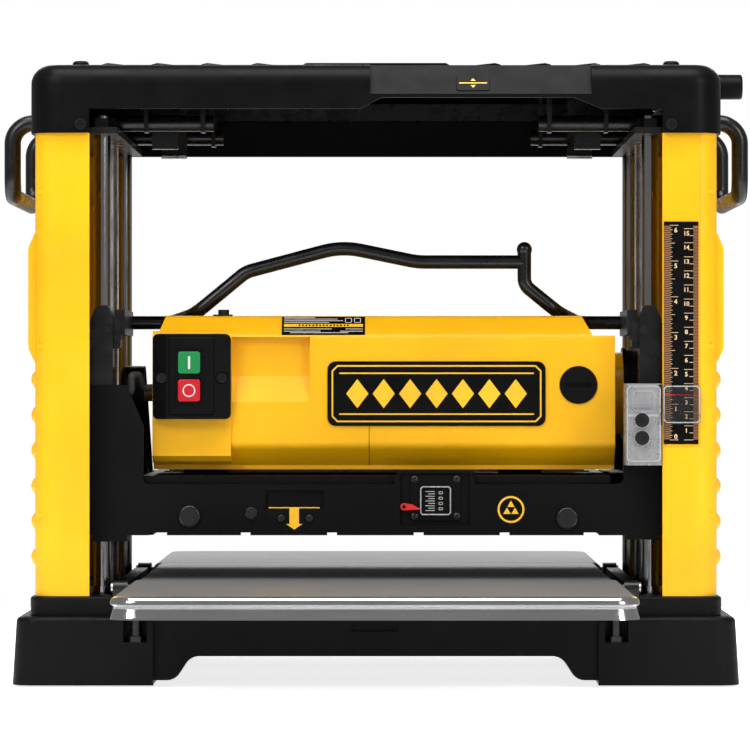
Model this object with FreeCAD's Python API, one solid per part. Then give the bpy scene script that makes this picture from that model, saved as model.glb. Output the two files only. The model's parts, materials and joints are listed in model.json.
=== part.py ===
"""Bench thickness planer: a fixed base and top joined by four posts, with a cutting carriage between.

Millimetres. X is to the right of a person at the infeed side, Y points to the outfeed side and Z up.
The origin is on the bench under the middle of the machine.
"""

import FreeCAD, Part
import math
import os

Vector = FreeCAD.Vector
os.makedirs("parts", exist_ok=True)

# --- Driving dimensions -------------------------------------------------------------------------

# Base and bed
BASE_X = 258.0        # half width of the base at the bench
BASE_Y = 188.5        # half depth of the base
APRON_DEPTH_Y = 184.0 # half depth of the middle of the base
SOLE_Z = 1.5          # underside of the casting, above the rubber feet
LEDGE_Z = 50.0        # top of the two foot blocks
PEDESTAL_Z = 64.0     # seat of the side panels
DECK_Z = 58.0         # top of the base between the feet
BED_Z = 75.0          # working face of the bed
BED_Y = 157.0         # half length of the fixed bed
BED_X = 168.0         # half width of the fixed bed
BOLT_DOWN_X = 246.0
BOLT_DOWN_Y = 177.0
BOLT_DOWN_R = 4.5

# Folding tables
TABLE_X = 175.0
TABLE_IN_Y = 160.0
TABLE_OUT_Y = 423.0
TABLE_DEPTH = 15.6
TABLE_CORNER_R = 18.0
TABLE_EDGE_R = 5.4
# how far the table's skirt is drawn in at each height, from its lower edge up to the rolled edge
TABLE_SKIRT = [(0.0, 59.4), (0.2, 60.6), (2.2, 66.6), (2.2, 68.0), (0.0, 69.4)]
PIN_Y = 164.0
PIN_Z = 69.0
PIN_R = 3.0

# Posts, lifting screws and their running clearance
POST_X = 196.5
POST_Y = 138.0
POST_R = 6.0
SCREW_X = 200.0
SCREW_R = 7.0
RUN = 0.06            # radial clearance of a running fit
GAP = 0.3             # clearance between moving neighbours

# Top of the machine
PANEL_TOP_Z = 393.0
PLATE_TOP_Z = 397.5
COVER_X = 246.0
COVER_Y = 178.0
COVER_TOP_Z = 442.0
COVER_WALL = 3.0
COVER_EDGE_R = 14.0   # rounding round the top of the cover
FRONT_EDGE_Z = 410.0
SCOOP_X = (4.0, 141.0) # the hand hollow in the front edge
SCOOP_EDGE_Z = 418.0
SCOOP_LEAN = 0.8      # how far the hollow's face leans back for each millimetre up
RIB_X = (90.0, 126.0, 161.5, 197.0) # steep side of each rib on the cover
RIB_LONG = 27.0
RIB_HIGH = 2.4
HANDLE_Y = 98.0
HANDLE_Z = 404.0
HANDLE_R = 6.0
HANDLE_X = 264.0
GRIP_BAR_Z = 351.0
CRANK_Z = 415.0
CRANK_RADIUS = 45.0
CRANK_GRIP_Z = 434.0
CRANK_END_X = 270.0
CRANK_ARM_X = (238.0, 244.0)
CRANK_GRIP_X = 246.8  # start of the grip, just outside the cover
CUP_X = 232.0         # face of the hollow in which the crank turns
CUP_Y = 61.0
CUP_WALL = 3.0

# Side panels
PANEL_X = 243.0
PANEL_Y = 173.5
PANEL_IN_X = 203.5
PANEL_WALL = 3.0
WEB_X = 225.0
RIDGE_R = 8.0
RIDGE_OUT = 3.3       # how far a grip ridge stands out
RIDGE_LOW_Z = 91.3
RIDGE_PITCH = 25.3
SCALE_X = (204.5, 229.0)
SCALE_Z = (172.0, 330.0)
SCALE_THICK = 0.8

# Carriage, drawn at a cutting height of 32 mm
APRON_Y = -150.0      # front face of the carriage
APRON_THICK = 7.0
CARRIAGE_Z = 106.5    # underside
SADDLE_Z = 143.0      # top of the apron between the towers
DECK_TOP_Z = 149.0
TOWER_Z = 214.0
TOWER_IN_X = 182.0
TOWER_OUT_X = 212.0
CHEEK_X = (160.0, 168.0)
CUT_Y, CUT_Z = 30.0, 131.0
CUT_R = 24.0
ROLLER_Z = 122.2
ROLLER_R = 16.0
ROLLER_Y = (-38.0, 98.0)
BELT_X = (-182.0, -172.0)
GAUGE_X = (17.2, 67.4) # recess of the removal gauge
GAUGE_Z = (113.6, 151.0)
NEEDLE_X, NEEDLE_Z = 20.0, 127.0
# centre X, centre Z and head radius of what is screwed into the apron
APRON_SCREWS = [(-133.4, 120.0, 8.1), (136.6, 118.6, 8.1), (-89.3, 122.2, 4.5), (-67.8, 118.5, 2.8),
                (-47.7, 118.5, 2.8)]
# middle and width of the notches in the apron's lower edge
APRON_NOTCHES = [(-156.0, 13.0), (-93.3, 7.0), (-31.5, 7.0), (30.5, 7.0), (92.0, 7.0), (154.0, 11.0)]
POINTER_SCREW_X = 188.8
POINTER_SCREW_Z = (189.0, 176.4)
POINTER_FRONT = -177.0

# Motor
MOTOR_Y, MOTOR_Z = -62.0, 208.0
HOUSING_X = (-161.0, 172.0)
HOUSING_FRONT = -128.0
HOUSING_SPLIT_X = -5.0
MOTOR_PULLEY_R = 11.0
CUTTER_PULLEY_R = 20.0
SHOULDER_X = 98.0     # beyond this the housing's top steps down, so that the lock lever's arms can swing
SHOULDER_Z = 236.0
# section of the housing and of the space inside it, as (Y, Z)
HOUSING_OUTLINE = [(-112, 153), (-112, 156), (-128, 170), (-128, 249), (-112, 264), (-99, 264), (-92, 258),
                   (-14, 258), (0, 244), (0, 166), (-10, 153)]
CAVITY_OUTLINE = [(-104, 158), (-116, 171), (-116, 247), (-106, 258), (-101, 258), (-94, 254), (-16, 254),
                  (-5, 242), (-5, 168), (-13, 158)]
END_CAP_X = (180.0, 198.0)
BRUSH_X, BRUSH_Z = 145.7, 214.0
GLAND_X, GLAND_Z = -130.0, 190.0

# Switch, as X and Z ranges
SWITCH_X, SWITCH_Z = (-160.5, -104.4), (189.5, 250.7)
SWITCH_FRONT = -141.0
SWITCH_SEAT = -134.0   # floor of the two screw wells
SWITCH_SCREW_R = 3.8
START_BUTTON = ((-142.0, -126.0), (222.0, 238.0))
STOP_BUTTON = ((-142.0, -126.0), (202.0, 218.0))
SWITCH_SCREWS = [(-154.0, 219.0), (-110.9, 219.0)]

# Lock lever
LEVER_Y, LEVER_Z = -40.0, 260.0
LEVER_PLANE_Y = -82.0
LEVER_R = 5.0

X_AXIS = Vector(1, 0, 0)
Y_AXIS = Vector(0, 1, 0)
Z_AXIS = Vector(0, 0, 1)


# --- Small tools --------------------------------------------------------------------------------

def block(x, y, z):
    """A box from three (low, high) pairs."""
    size = [pair[1] - pair[0] for pair in (x, y, z)]
    return Part.makeBox(*size, Vector(x[0], y[0], z[0]))


def rod(radius, start, end):
    """A cylinder between two points."""
    low, high = Vector(*start), Vector(*end)
    return Part.makeCylinder(radius, (high - low).Length, low, high - low)


def tube(outer, inner, start, end):
    return rod(outer, start, end).cut(rod(inner, start, end))


def prism(axis, outline, span):
    """An outline of pairs in the plane across an axis, pushed along that axis."""
    place = {
        "X": lambda a, b: Vector(span[0], a, b),
        "Y": lambda a, b: Vector(a, span[0], b),
        "Z": lambda a, b: Vector(a, b, span[0]),
    }[axis]
    direction = {"X": X_AXIS, "Y": Y_AXIS, "Z": Z_AXIS}[axis]
    points = [place(a, b) for a, b in outline]
    face = Part.Face(Part.makePolygon(points + points[:1]))
    return face.extrude(direction * (span[1] - span[0]))


def fuse(first, *others):
    return first.multiFuse(list(others)).removeSplitter() if others else first


def cut(body, *tools):
    return body.cut(list(tools)) if tools else body


def in_x(shape):
    return shape.mirror(Vector(0, 0, 0), X_AXIS)


def in_y(shape):
    return shape.mirror(Vector(0, 0, 0), Y_AXIS)


def left_right(*shapes):
    return list(shapes) + [in_x(s) for s in shapes]


def front_back(*shapes):
    return list(shapes) + [in_y(s) for s in shapes]


def round_edges(shape, radius, axis, test=lambda centre: True):
    """Round the straight edges that run along an axis and whose middle passes a test."""
    chosen = []
    for edge in shape.Edges:
        if len(edge.Vertexes) != 2 or edge.Curve.TypeId != "Part::GeomLine":
            continue
        run = edge.Vertexes[1].Point - edge.Vertexes[0].Point
        if run.Length > 1e-6 and abs(run.normalize().dot(axis)) > 0.999 and test(edge.CenterOfMass):
            chosen.append(edge)
    return shape.makeFillet(radius, chosen)


def round_rim(shape, radius, test):
    """Round every edge whose middle passes a test."""
    return shape.makeFillet(radius, [e for e in shape.Edges if test(e.CenterOfMass)])


def bent_rod(radius, points, bends):
    """A round rod through straight runs joined by arcs, with one bend radius or one for each corner."""
    points = [Vector(*p) for p in points]
    if not isinstance(bends, list):
        bends = [bends] * (len(points) - 2)
    edges = []
    last = points[0]
    for before, corner, after, bend in zip(points, points[1:], points[2:], bends):
        into = (corner - before).normalize()
        out = (after - corner).normalize()
        turn = into.getAngle(out)
        setback = bend * math.tan(turn / 2)
        start, end = corner - into * setback, corner + out * setback
        towards = (out - into).normalize()
        middle = corner + towards * (bend / math.cos(turn / 2) - bend)
        edges.append(Part.LineSegment(last, start).toShape())
        edges.append(Part.Arc(start, middle, end).toShape())
        last = end
    edges.append(Part.LineSegment(last, points[-1]).toShape())
    ring = Part.Wire([Part.Circle(points[0], points[1] - points[0], radius).toShape()])
    return Part.Wire(edges).makePipeShell([ring], True, False)


def two_circle_hull(axis, first, second, first_r, second_r, span):
    """The shape that a tight band round two circles encloses."""
    a, b = Vector(*first, 0), Vector(*second, 0)
    run = b - a
    spread = math.acos((first_r - second_r) / run.Length)
    heading = math.atan2(run.y, run.x)
    outline = []
    for centre, radius, side in ((a, first_r, 1), (b, second_r, 1), (b, second_r, -1), (a, first_r, -1)):
        angle = heading + side * spread
        outline.append((centre.x + radius * math.cos(angle), centre.y + radius * math.sin(angle)))
    ends = []
    for centre, radius in ((first, first_r), (second, second_r)):
        start = (span[0], *centre) if axis == "X" else (*centre, span[0])
        end = (span[1], *centre) if axis == "X" else (*centre, span[1])
        ends.append(rod(radius, start, end))
    return fuse(prism(axis, outline, span), *ends)


def band(axis, first, second, first_r, second_r, thick, span):
    """A belt or chain round two wheels, just clear of them."""
    outer = two_circle_hull(axis, first, second, first_r + thick, second_r + thick, span)
    return outer.cut(two_circle_hull(axis, first, second, first_r + GAP, second_r + GAP, span))


def hex_head(radius, start, end):
    """A six-sided nut or head between two points, with the given corner radius."""
    low, high = Vector(*start), Vector(*end)
    axis = high - low
    side = Vector(0, 0, 1) if abs(axis.z) < 0.5 * axis.Length else Vector(1, 0, 0)
    other = axis.cross(side).normalize()
    corners = [
        low + side * radius * math.cos(k * math.pi / 3) + other * radius * math.sin(k * math.pi / 3)
        for k in range(6)
    ]
    return Part.Face(Part.makePolygon(corners + corners[:1])).extrude(axis)


def save(name, *shapes):
    solids = [s for shape in shapes for s in shape.Solids]
    whole = solids[0] if len(solids) == 1 else Part.makeCompound(solids)
    whole.exportStep(f"parts/{name}.step")


def post_places():
    return [(sx * POST_X, sy * POST_Y) for sx in (-1, 1) for sy in (-1, 1)]


# --- Base, bed and folding tables ---------------------------------------------------------------

def base_casting():
    foot = prism("Y", [(157.5, SOLE_Z), (BASE_X, SOLE_Z), (BASE_X - 3, LEDGE_Z), (157.5, LEDGE_Z)],
                 (-BASE_Y, BASE_Y))
    foot = round_rim(foot, 16, lambda c: c.x > 250 and abs(c.y) > 180 and 10 < c.z < 45)
    foot = round_rim(foot, 4, lambda c: c.z > LEDGE_Z - 0.1 and c.x > 158)
    arch = [(-165, DECK_Z), (-165, 5), (-142, 5), (-131, 22), (131, 22), (142, 5), (165, 5), (165, DECK_Z)]
    middle = prism("Y", arch, (-APRON_DEPTH_Y, APRON_DEPTH_Y))
    middle = round_edges(middle, 11, Y_AXIS, lambda c: abs(c.x) < 150 and c.z < 30)
    pedestal = block((187, 246), (-176.5, 176.5), (LEDGE_Z - 6, PEDESTAL_Z))
    pedestal = round_edges(pedestal, 14, Z_AXIS, lambda c: c.x > 240)
    pedestal = round_rim(pedestal, 2.5, lambda c: c.z > PEDESTAL_Z - 0.1 and c.x > 190)
    bed = block((-165, 165), (-154, 154), (DECK_Z, BED_Z - 1.5))
    cheek = prism("X", [(-155, LEDGE_Z), (-155, 60), (-140, 72), (140, 72), (155, 60), (155, LEDGE_Z)],
                  (178, 188))
    body = fuse(middle, *left_right(foot, pedestal, cheek), bed)
    foot_hollow = block((166, 248), (-125, 125), (0, 44))
    middle_hollow = block((-158, 158), (-176, 176), (0, LEDGE_Z))
    tunnel = block((-225, 225), (-30, 30), (0, 46))
    stop_pocket = block((162, 178.5), (-200, -174), (32, LEDGE_Z + 12))
    bolt_hole = rod(BOLT_DOWN_R, (BOLT_DOWN_X, BOLT_DOWN_Y, 0), (BOLT_DOWN_X, BOLT_DOWN_Y, LEDGE_Z + 1))
    pad_seat = rod(15, (212, 152, SOLE_Z), (212, 152, 5))
    screw_hole = rod(10, (SCREW_X, 0, 40), (SCREW_X, 0, PEDESTAL_Z + 10))
    stop_hole = rod(4.05, (170, 181.5, 18), (170, 181.5, 33))
    slot = block((-17.5, 16), (-190, -181), (39.5, 45.5))
    tools = [middle_hollow, tunnel, slot]
    tools += left_right(foot_hollow, screw_hole)
    tools += left_right(*front_back(stop_pocket, bolt_hole, pad_seat, stop_hole))
    tools += [rod(POST_R, (x, y, 30), (x, y, 80)) for x, y in post_places()]
    tools += left_right(*front_back(rod(2, (181.5, 165, 40), (181.5, 165, LEDGE_Z))))
    return cut(body, *tools)


def rubber_feet():
    pad = rod(15, (212, 152, 0), (212, 152, 5))
    pad = round_rim(pad, 1, lambda c: c.z < 0.1)
    return left_right(*front_back(pad))


def bed_platen():
    sheet = block((-BED_X, BED_X), (-BED_Y, BED_Y), (BED_Z - 1.5, BED_Z))
    wing = block((165, BED_X), (-154, 154), (DECK_Z + 3, BED_Z))
    return fuse(sheet, *left_right(wing))


def table_stop_screws():
    top = BED_Z - TABLE_DEPTH - 0.4
    head = rod(6.5, (170, 181.5, 51), (170, 181.5, top))
    shank = rod(4, (170, 181.5, 18), (170, 181.5, 51))
    nut = hex_head(7, (170, 181.5, 32), (170, 181.5, 36))
    return left_right(*front_back(fuse(head, shank, nut)))


def hinge_brackets():
    ear = block((176.5, 187), (-172, -156), (LEDGE_Z, 75))
    ear = round_edges(ear, 6, X_AXIS, lambda c: c.z > 74)
    ear = cut(ear, rod(PIN_R, (150, -PIN_Y, PIN_Z), (200, -PIN_Y, PIN_Z)))
    return left_right(*front_back(ear))


def hinge_pins():
    shaft = rod(PIN_R, (162, -PIN_Y, PIN_Z), (187, -PIN_Y, PIN_Z))
    head = rod(4.5, (187, -PIN_Y, PIN_Z), (188.5, -PIN_Y, PIN_Z))
    return left_right(*front_back(fuse(shaft, head)))


def table_slab(inset, low, high):
    """A folding table's outline between two heights, drawn in on every side but the hinge's."""
    slab = block((-TABLE_X + inset, TABLE_X - inset), (-TABLE_OUT_Y + inset, -TABLE_IN_Y), (low, high))
    return round_edges(slab, TABLE_CORNER_R - inset, Z_AXIS, lambda c: c.y < -400)


def folding_table():
    """The infeed table; the outfeed table is its mirror image."""
    low = BED_Z - TABLE_DEPTH
    levels = []
    for inset, z in TABLE_SKIRT:
        slab = table_slab(inset, z, z + 1)
        levels.append(min(slab.Faces, key=lambda face: face.CenterOfMass.z).OuterWire)
    skirt = Part.makeLoft(levels, True, True)
    top = table_slab(0, TABLE_SKIRT[-1][1], BED_Z)
    top = round_rim(top, TABLE_EDGE_R, lambda c: c.z > BED_Z - 0.1 and (abs(c.x) > 150 or c.y < -400))
    wall = 1.8
    side_wall = 4.2
    inner_end = block((-TABLE_X, TABLE_X), (-TABLE_IN_Y - wall, 0), (low - 2, BED_Z))
    hollow = table_slab(side_wall, low - 1, BED_Z - wall).cut(inner_end)
    body = fuse(skirt, top).cut(hollow)
    ribs = [block((-172, 172), (y, y + 3), (low + 3, BED_Z - wall)) for y in (-340, -250)]
    boss = block((166, TABLE_X - side_wall), (-170, -TABLE_IN_Y - wall), (low, BED_Z - wall))
    body = fuse(body, *ribs, *left_right(boss))
    bore = rod(PIN_R + RUN, (150, -PIN_Y, PIN_Z), (180, -PIN_Y, PIN_Z))
    return cut(body, *left_right(bore))


# --- Posts, top frame, cover and panels ---------------------------------------------------------

def guide_posts():
    posts = []
    for x, y in post_places():
        collar = rod(8.5, (x, y, PEDESTAL_Z), (x, y, 70))
        posts.append(fuse(rod(POST_R, (x, y, 30), (x, y, 407)), collar))
    return posts


def post_nuts():
    nuts = [hex_head(9.5, (x, y, PLATE_TOP_Z), (x, y, 405)) for x, y in post_places()]
    return [nut.cut(rod(POST_R, (x, y, 390), (x, y, 410))) for nut, (x, y) in zip(nuts, post_places())]


def top_frame():
    plate = block((184, 238), (-168, 168), (PANEL_TOP_Z, PLATE_TOP_Z))
    riser = block((207, 230), (-168, -151), (PANEL_TOP_Z, 433))
    beam = block((-230, 230), (-157, -151), (420, 433))
    frame = fuse(beam, in_y(beam), *left_right(plate, *front_back(riser)))
    holes = [rod(POST_R, (x, y, 390), (x, y, 400)) for x, y in post_places()]
    holes += left_right(rod(9, (SCREW_X, 0, 390), (SCREW_X, 0, 400)))
    holes += left_right(*front_back(rod(2.2, (209.5, -170, 399), (209.5, -160, 399))))
    holes.append(block((CUP_X - CUP_WALL, 240), (-CUP_Y - CUP_WALL, CUP_Y + CUP_WALL), (390, 400)))
    return cut(frame, *holes)


def scoop_lean(inset):
    """What is cut away in front of the hand hollow's leaning face, or of a face the inset further in."""
    low, high = SCOOP_X
    front, top = -COVER_Y - 2, COVER_TOP_Z + 8
    back = front + (top - SCOOP_EDGE_Z) * SCOOP_LEAN
    base = SCOOP_EDGE_Z - inset
    outline = [(front, base), (front, top), (back + inset, top), (front + inset, base)]
    return prism("X", outline, (low - 8 - inset, high + 12 + inset))


def top_cover():
    outer = block((-COVER_X, COVER_X), (-COVER_Y, COVER_Y), (PANEL_TOP_Z, COVER_TOP_Z))
    outer = round_edges(outer, 22, Z_AXIS)
    outer = round_rim(outer, COVER_EDGE_R, lambda c: c.z > COVER_TOP_Z - 0.1)
    outer = outer.cut(scoop_lean(0))
    inside_x, inside_y = COVER_X - COVER_WALL, COVER_Y - COVER_WALL
    inner = block((-inside_x, inside_x), (-inside_y, inside_y), (PANEL_TOP_Z - 1, COVER_TOP_Z - 2.5))
    inner = round_edges(inner, 19, Z_AXIS)
    inner = round_rim(inner, COVER_EDGE_R - COVER_WALL, lambda c: c.z > COVER_TOP_Z - 2.6)
    inner = inner.cut(scoop_lean(COVER_WALL + 1))
    shell = outer.cut(inner)
    front_gap = block((-PANEL_IN_X, PANEL_IN_X), (-COVER_Y - 1, -150), (PANEL_TOP_Z - 1, FRONT_EDGE_Z))
    shell = shell.cut(front_gap)
    low, high = SCOOP_X
    scoop = prism("Y", [(low - 15, 400), (low - 15, FRONT_EDGE_Z), (low, SCOOP_EDGE_Z), (high, SCOOP_EDGE_Z),
                        (high + 19, FRONT_EDGE_Z), (high + 19, 400)], (-COVER_Y - 1, -150))
    shell = shell.cut(scoop)
    # the cup on the right in which the crank turns
    cup_wall = block((CUP_X - CUP_WALL, COVER_X - 2), (-CUP_Y - CUP_WALL, CUP_Y + CUP_WALL),
                     (PANEL_TOP_Z, COVER_TOP_Z - 1))
    cup = block((CUP_X, COVER_X + 5), (-CUP_Y, CUP_Y), (PANEL_TOP_Z - 1, COVER_TOP_Z + 1))
    shell = fuse(shell, cup_wall).cut(cup)
    # slanted ribs on both sides of a flat middle
    ribs = []
    for steep in RIB_X:
        rib = prism("Y", [(steep - RIB_LONG, COVER_TOP_Z - 1), (steep - RIB_LONG, COVER_TOP_Z),
                          (steep - 5, COVER_TOP_Z + RIB_HIGH), (steep - 1, COVER_TOP_Z + RIB_HIGH - 1),
                          (steep, COVER_TOP_Z - 1)], (-148, 148))
        ribs += left_right(rib)
    plateau = prism("Y", [(-56, COVER_TOP_Z - 1), (-50, COVER_TOP_Z + RIB_HIGH), (50, COVER_TOP_Z + RIB_HIGH),
                          (56, COVER_TOP_Z - 1)], (-148, 148))
    shell = fuse(shell, plateau, *ribs)
    handle_hole = rod(HANDLE_R + 0.5, (240, HANDLE_Y, HANDLE_Z), (250, HANDLE_Y, HANDLE_Z))
    holes = left_right(*front_back(handle_hole))
    holes.append(rod(6, (CUP_X - 5, 0, CRANK_Z), (CUP_X + 2, 0, CRANK_Z)))
    holes += left_right(*front_back(rod(2.2, (209.5, -180, 399), (209.5, -170, 399))))
    holes += left_right(*front_back(rod(3.05, (211, -150, 430), (211, -150, 450))))
    return cut(shell, *holes)


def cover_screws():
    head = rod(4.2, (209.5, -COVER_Y - 2, 399), (209.5, -COVER_Y, 399))
    shank = rod(2.2, (209.5, -COVER_Y, 399), (209.5, -163, 399))
    cross = [block((206.5, 212.5), (-COVER_Y - 3, -COVER_Y - 1), (398.4, 399.6)),
             block((208.9, 210.1), (-COVER_Y - 3, -COVER_Y - 1), (396, 402))]
    return left_right(*front_back(cut(fuse(head, shank), *cross)))


def cover_caps():
    dome = rod(6, (211, -150, COVER_TOP_Z), (211, -150, COVER_TOP_Z + 3.5))
    dome = round_rim(dome, 2.6, lambda c: c.z > COVER_TOP_Z + 3.4)
    stem = rod(3, (211, -150, COVER_TOP_Z - 6), (211, -150, COVER_TOP_Z))
    return left_right(*front_back(fuse(dome, stem)))


def side_panel_right():
    outer, wall, web = PANEL_X, PANEL_WALL, WEB_X
    half = [(PANEL_IN_X, PANEL_Y), (outer, PANEL_Y), (outer, 115), (web, 105)]
    inner = [(web - wall, 106), (outer - wall, 116), (outer - wall, PANEL_Y - wall),
             (PANEL_IN_X, PANEL_Y - wall)]
    outline = half + [(x, -y) for x, y in reversed(half)]
    outline += [(x, -y) for x, y in reversed(inner)] + inner
    shell = prism("Z", outline, (PEDESTAL_Z, PANEL_TOP_Z))
    shell = round_edges(shell, 16, Z_AXIS, lambda c: c.x > outer - 1 and abs(c.y) > 170)
    shell = round_edges(shell, 13, Z_AXIS, lambda c: abs(c.x - outer + wall) < 0.5 and abs(c.y) > 165)
    shell = round_edges(shell, 6, Z_AXIS, lambda c: c.x > outer - 1 and abs(c.y) < 116)
    extras = []
    centre_x = outer + RIDGE_OUT - RIDGE_R
    for row in range(6):
        z = RIDGE_LOW_Z + row * RIDGE_PITCH
        ridge = fuse(rod(RIDGE_R, (centre_x, -152, z), (centre_x, -126, z)),
                     Part.makeSphere(RIDGE_R, Vector(centre_x, -152, z)),
                     Part.makeSphere(RIDGE_R, Vector(centre_x, -126, z)))
        kept = block((outer - 2, outer + RIDGE_R), (-165, -115), (z - RIDGE_R, z + RIDGE_R))
        extras.append(ridge.common(kept))
    pad = prism("Y", [(outer - 2, 226), (outer + 5, 240), (outer + 5, 312), (outer - 2, 327)], (-160, -119))
    extras.append(round_edges(pad, 14, Y_AXIS, lambda c: c.x > outer + 3))
    shell = fuse(shell, *front_back(*extras))
    # stiffening shelves inside each corner
    shelves = [block((208, outer - wall), (-PANEL_Y + wall, -155), (z, z + 3)) for z in (120, 240, 350)]
    return fuse(shell, *front_back(*shelves))


def scale_recess():
    """The shallow step in the right panel that the depth scale lies in, open above."""
    return block((PANEL_IN_X - 1, SCALE_X[1] + 1.5), (-PANEL_Y - 1, -PANEL_Y + SCALE_THICK),
                 (SCALE_Z[0] - 2, PANEL_TOP_Z + 1))


def depth_scale():
    return block(SCALE_X, (-PANEL_Y, -PANEL_Y + SCALE_THICK), SCALE_Z)


def carry_handle_right():
    path = [(118, -HANDLE_Y, HANDLE_Z), (HANDLE_X, -HANDLE_Y, HANDLE_Z), (HANDLE_X, -HANDLE_Y, GRIP_BAR_Z),
            (HANDLE_X, HANDLE_Y, GRIP_BAR_Z), (HANDLE_X, HANDLE_Y, HANDLE_Z), (118, HANDLE_Y, HANDLE_Z)]
    return bent_rod(HANDLE_R, path, 15)


def handle_brackets():
    """Plates under the cover that hold the handle rods, and the two straps beside them."""
    pieces = []
    for x in (124, 165):
        plate = block((x, x + 3), (-112, -90), (397, COVER_TOP_Z - 2.5))
        plate = cut(plate, rod(HANDLE_R, (x - 1, -HANDLE_Y, HANDLE_Z), (x + 4, -HANDLE_Y, HANDLE_Z)))
        pieces += left_right(*front_back(plate))
    strap = fuse(block((145, 164), (-74.5, -72.5), (386.5, COVER_TOP_Z - 2.5)),
                 block((145, 164), (-74.5, -66), (386.5, 388.5)))
    return pieces + left_right(*front_back(strap))


# --- Lifting screws, chain and crank ------------------------------------------------------------

def screw_bearings():
    """Bronze bushes for the lifting screws, and the block that carries the crank shaft."""
    lower = tube(10, SCREW_R + RUN, (SCREW_X, 0, 44), (SCREW_X, 0, PEDESTAL_Z))
    upper = fuse(rod(9, (SCREW_X, 0, PANEL_TOP_Z), (SCREW_X, 0, PLATE_TOP_Z)),
                 rod(11, (SCREW_X, 0, PLATE_TOP_Z), (SCREW_X, 0, 399.5)))
    upper = upper.cut(rod(SCREW_R + RUN, (SCREW_X, 0, 390), (SCREW_X, 0, 402)))
    crank_block = block((216, 227), (-12, 12), (PLATE_TOP_Z, 427))
    crank_block = round_edges(crank_block, 8, X_AXIS, lambda c: c.z > 420)
    crank_block = crank_block.cut(rod(5 + RUN, (210, 0, CRANK_Z), (230, 0, CRANK_Z)))
    return left_right(lower, upper) + [crank_block]


def bevel_gear():
    """A 12-tooth bevel gear on +Z, its pitch cone's tip at the origin and its wide end below."""
    teeth, wide, narrow = 12, 11.0, 6.5
    back = 1.6        # how far the cone between the teeth lies behind the pitch cone
    blank = Part.makeCone(wide - back, narrow - back, wide - narrow, Vector(0, 0, -wide - back))
    half_angle = math.radians(6.5)
    pieces = [blank]
    for number in range(teeth):
        middle = 2 * math.pi * number / teeth
        ends = []
        for radius in (wide, narrow):
            corners = []
            for side in (-1, 1):
                angle = middle + side * half_angle
                root = radius - back - 0.3
                corners.append(Vector(root * math.cos(angle), root * math.sin(angle), -radius - back))
            crest = radius + 0.2
            corners.append(Vector(crest * math.cos(middle), crest * math.sin(middle), -radius + 0.3))
            ends.append(Part.makePolygon(corners + corners[:1]))
        pieces.append(Part.makeLoft(ends, True, True))
    return fuse(*pieces)


def jackscrew(side, top):
    """A lifting screw with its thrust collar and the sprocket that the base chain turns."""
    x = side * SCREW_X
    shaft = fuse(rod(SCREW_R, (x, 0, 30), (x, 0, top)), rod(10, (x, 0, PEDESTAL_Z + GAP), (x, 0, 70)))
    wheel = rod(12, (x, 0, 36), (x, 0, 41)).cut(rod(SCREW_R, (x, 0, 30), (x, 0, 50)))
    notches = [rod(2, (x + 12.6 * math.cos(a), 12.6 * math.sin(a), 35), (x + 12.6 * math.cos(a),
               12.6 * math.sin(a), 42)) for a in [math.radians(30 * k) for k in range(12)]]
    return [shaft, cut(wheel, *notches)]


def elevation_chain():
    return band("Z", (-SCREW_X, 0), (SCREW_X, 0), 12, 12, 4, (36, 41))


def crank_arm():
    reach = CRANK_GRIP_Z - CRANK_Z
    grip_y = -math.sqrt(CRANK_RADIUS ** 2 - reach ** 2)
    inner, outer = CRANK_ARM_X
    arm = two_circle_hull("X", (0, CRANK_Z), (grip_y, CRANK_GRIP_Z), 10, 8, CRANK_ARM_X)
    hub = rod(11, (CUP_X + 0.6, 0, CRANK_Z), (inner, 0, CRANK_Z))
    stud = fuse(rod(3, (outer, grip_y, CRANK_GRIP_Z), (CRANK_END_X - 2, grip_y, CRANK_GRIP_Z)),
                rod(6, (outer, grip_y, CRANK_GRIP_Z), (CRANK_GRIP_X - GAP, grip_y, CRANK_GRIP_Z)))
    stud_head = rod(5.5, (CRANK_END_X - 2, grip_y, CRANK_GRIP_Z), (CRANK_END_X - 0.4, grip_y, CRANK_GRIP_Z))
    arm = fuse(arm, hub, stud, stud_head)
    return arm.cut(rod(5, (220, 0, CRANK_Z), (outer - 2, 0, CRANK_Z))), grip_y


def crank_grip(grip_y):
    start, end = CRANK_GRIP_X, CRANK_END_X
    grip = rod(9.2, (start, grip_y, CRANK_GRIP_Z), (end, grip_y, CRANK_GRIP_Z))
    grip = round_rim(grip, 2, lambda c: True)
    bore = rod(3 + RUN, (start - 1, grip_y, CRANK_GRIP_Z), (end + 1, grip_y, CRANK_GRIP_Z))
    counterbore = rod(6, (end - 2 - GAP, grip_y, CRANK_GRIP_Z), (end + 1, grip_y, CRANK_GRIP_Z))
    return cut(grip, bore, counterbore)


# --- Carriage casting and what slides with it ---------------------------------------------------

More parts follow.
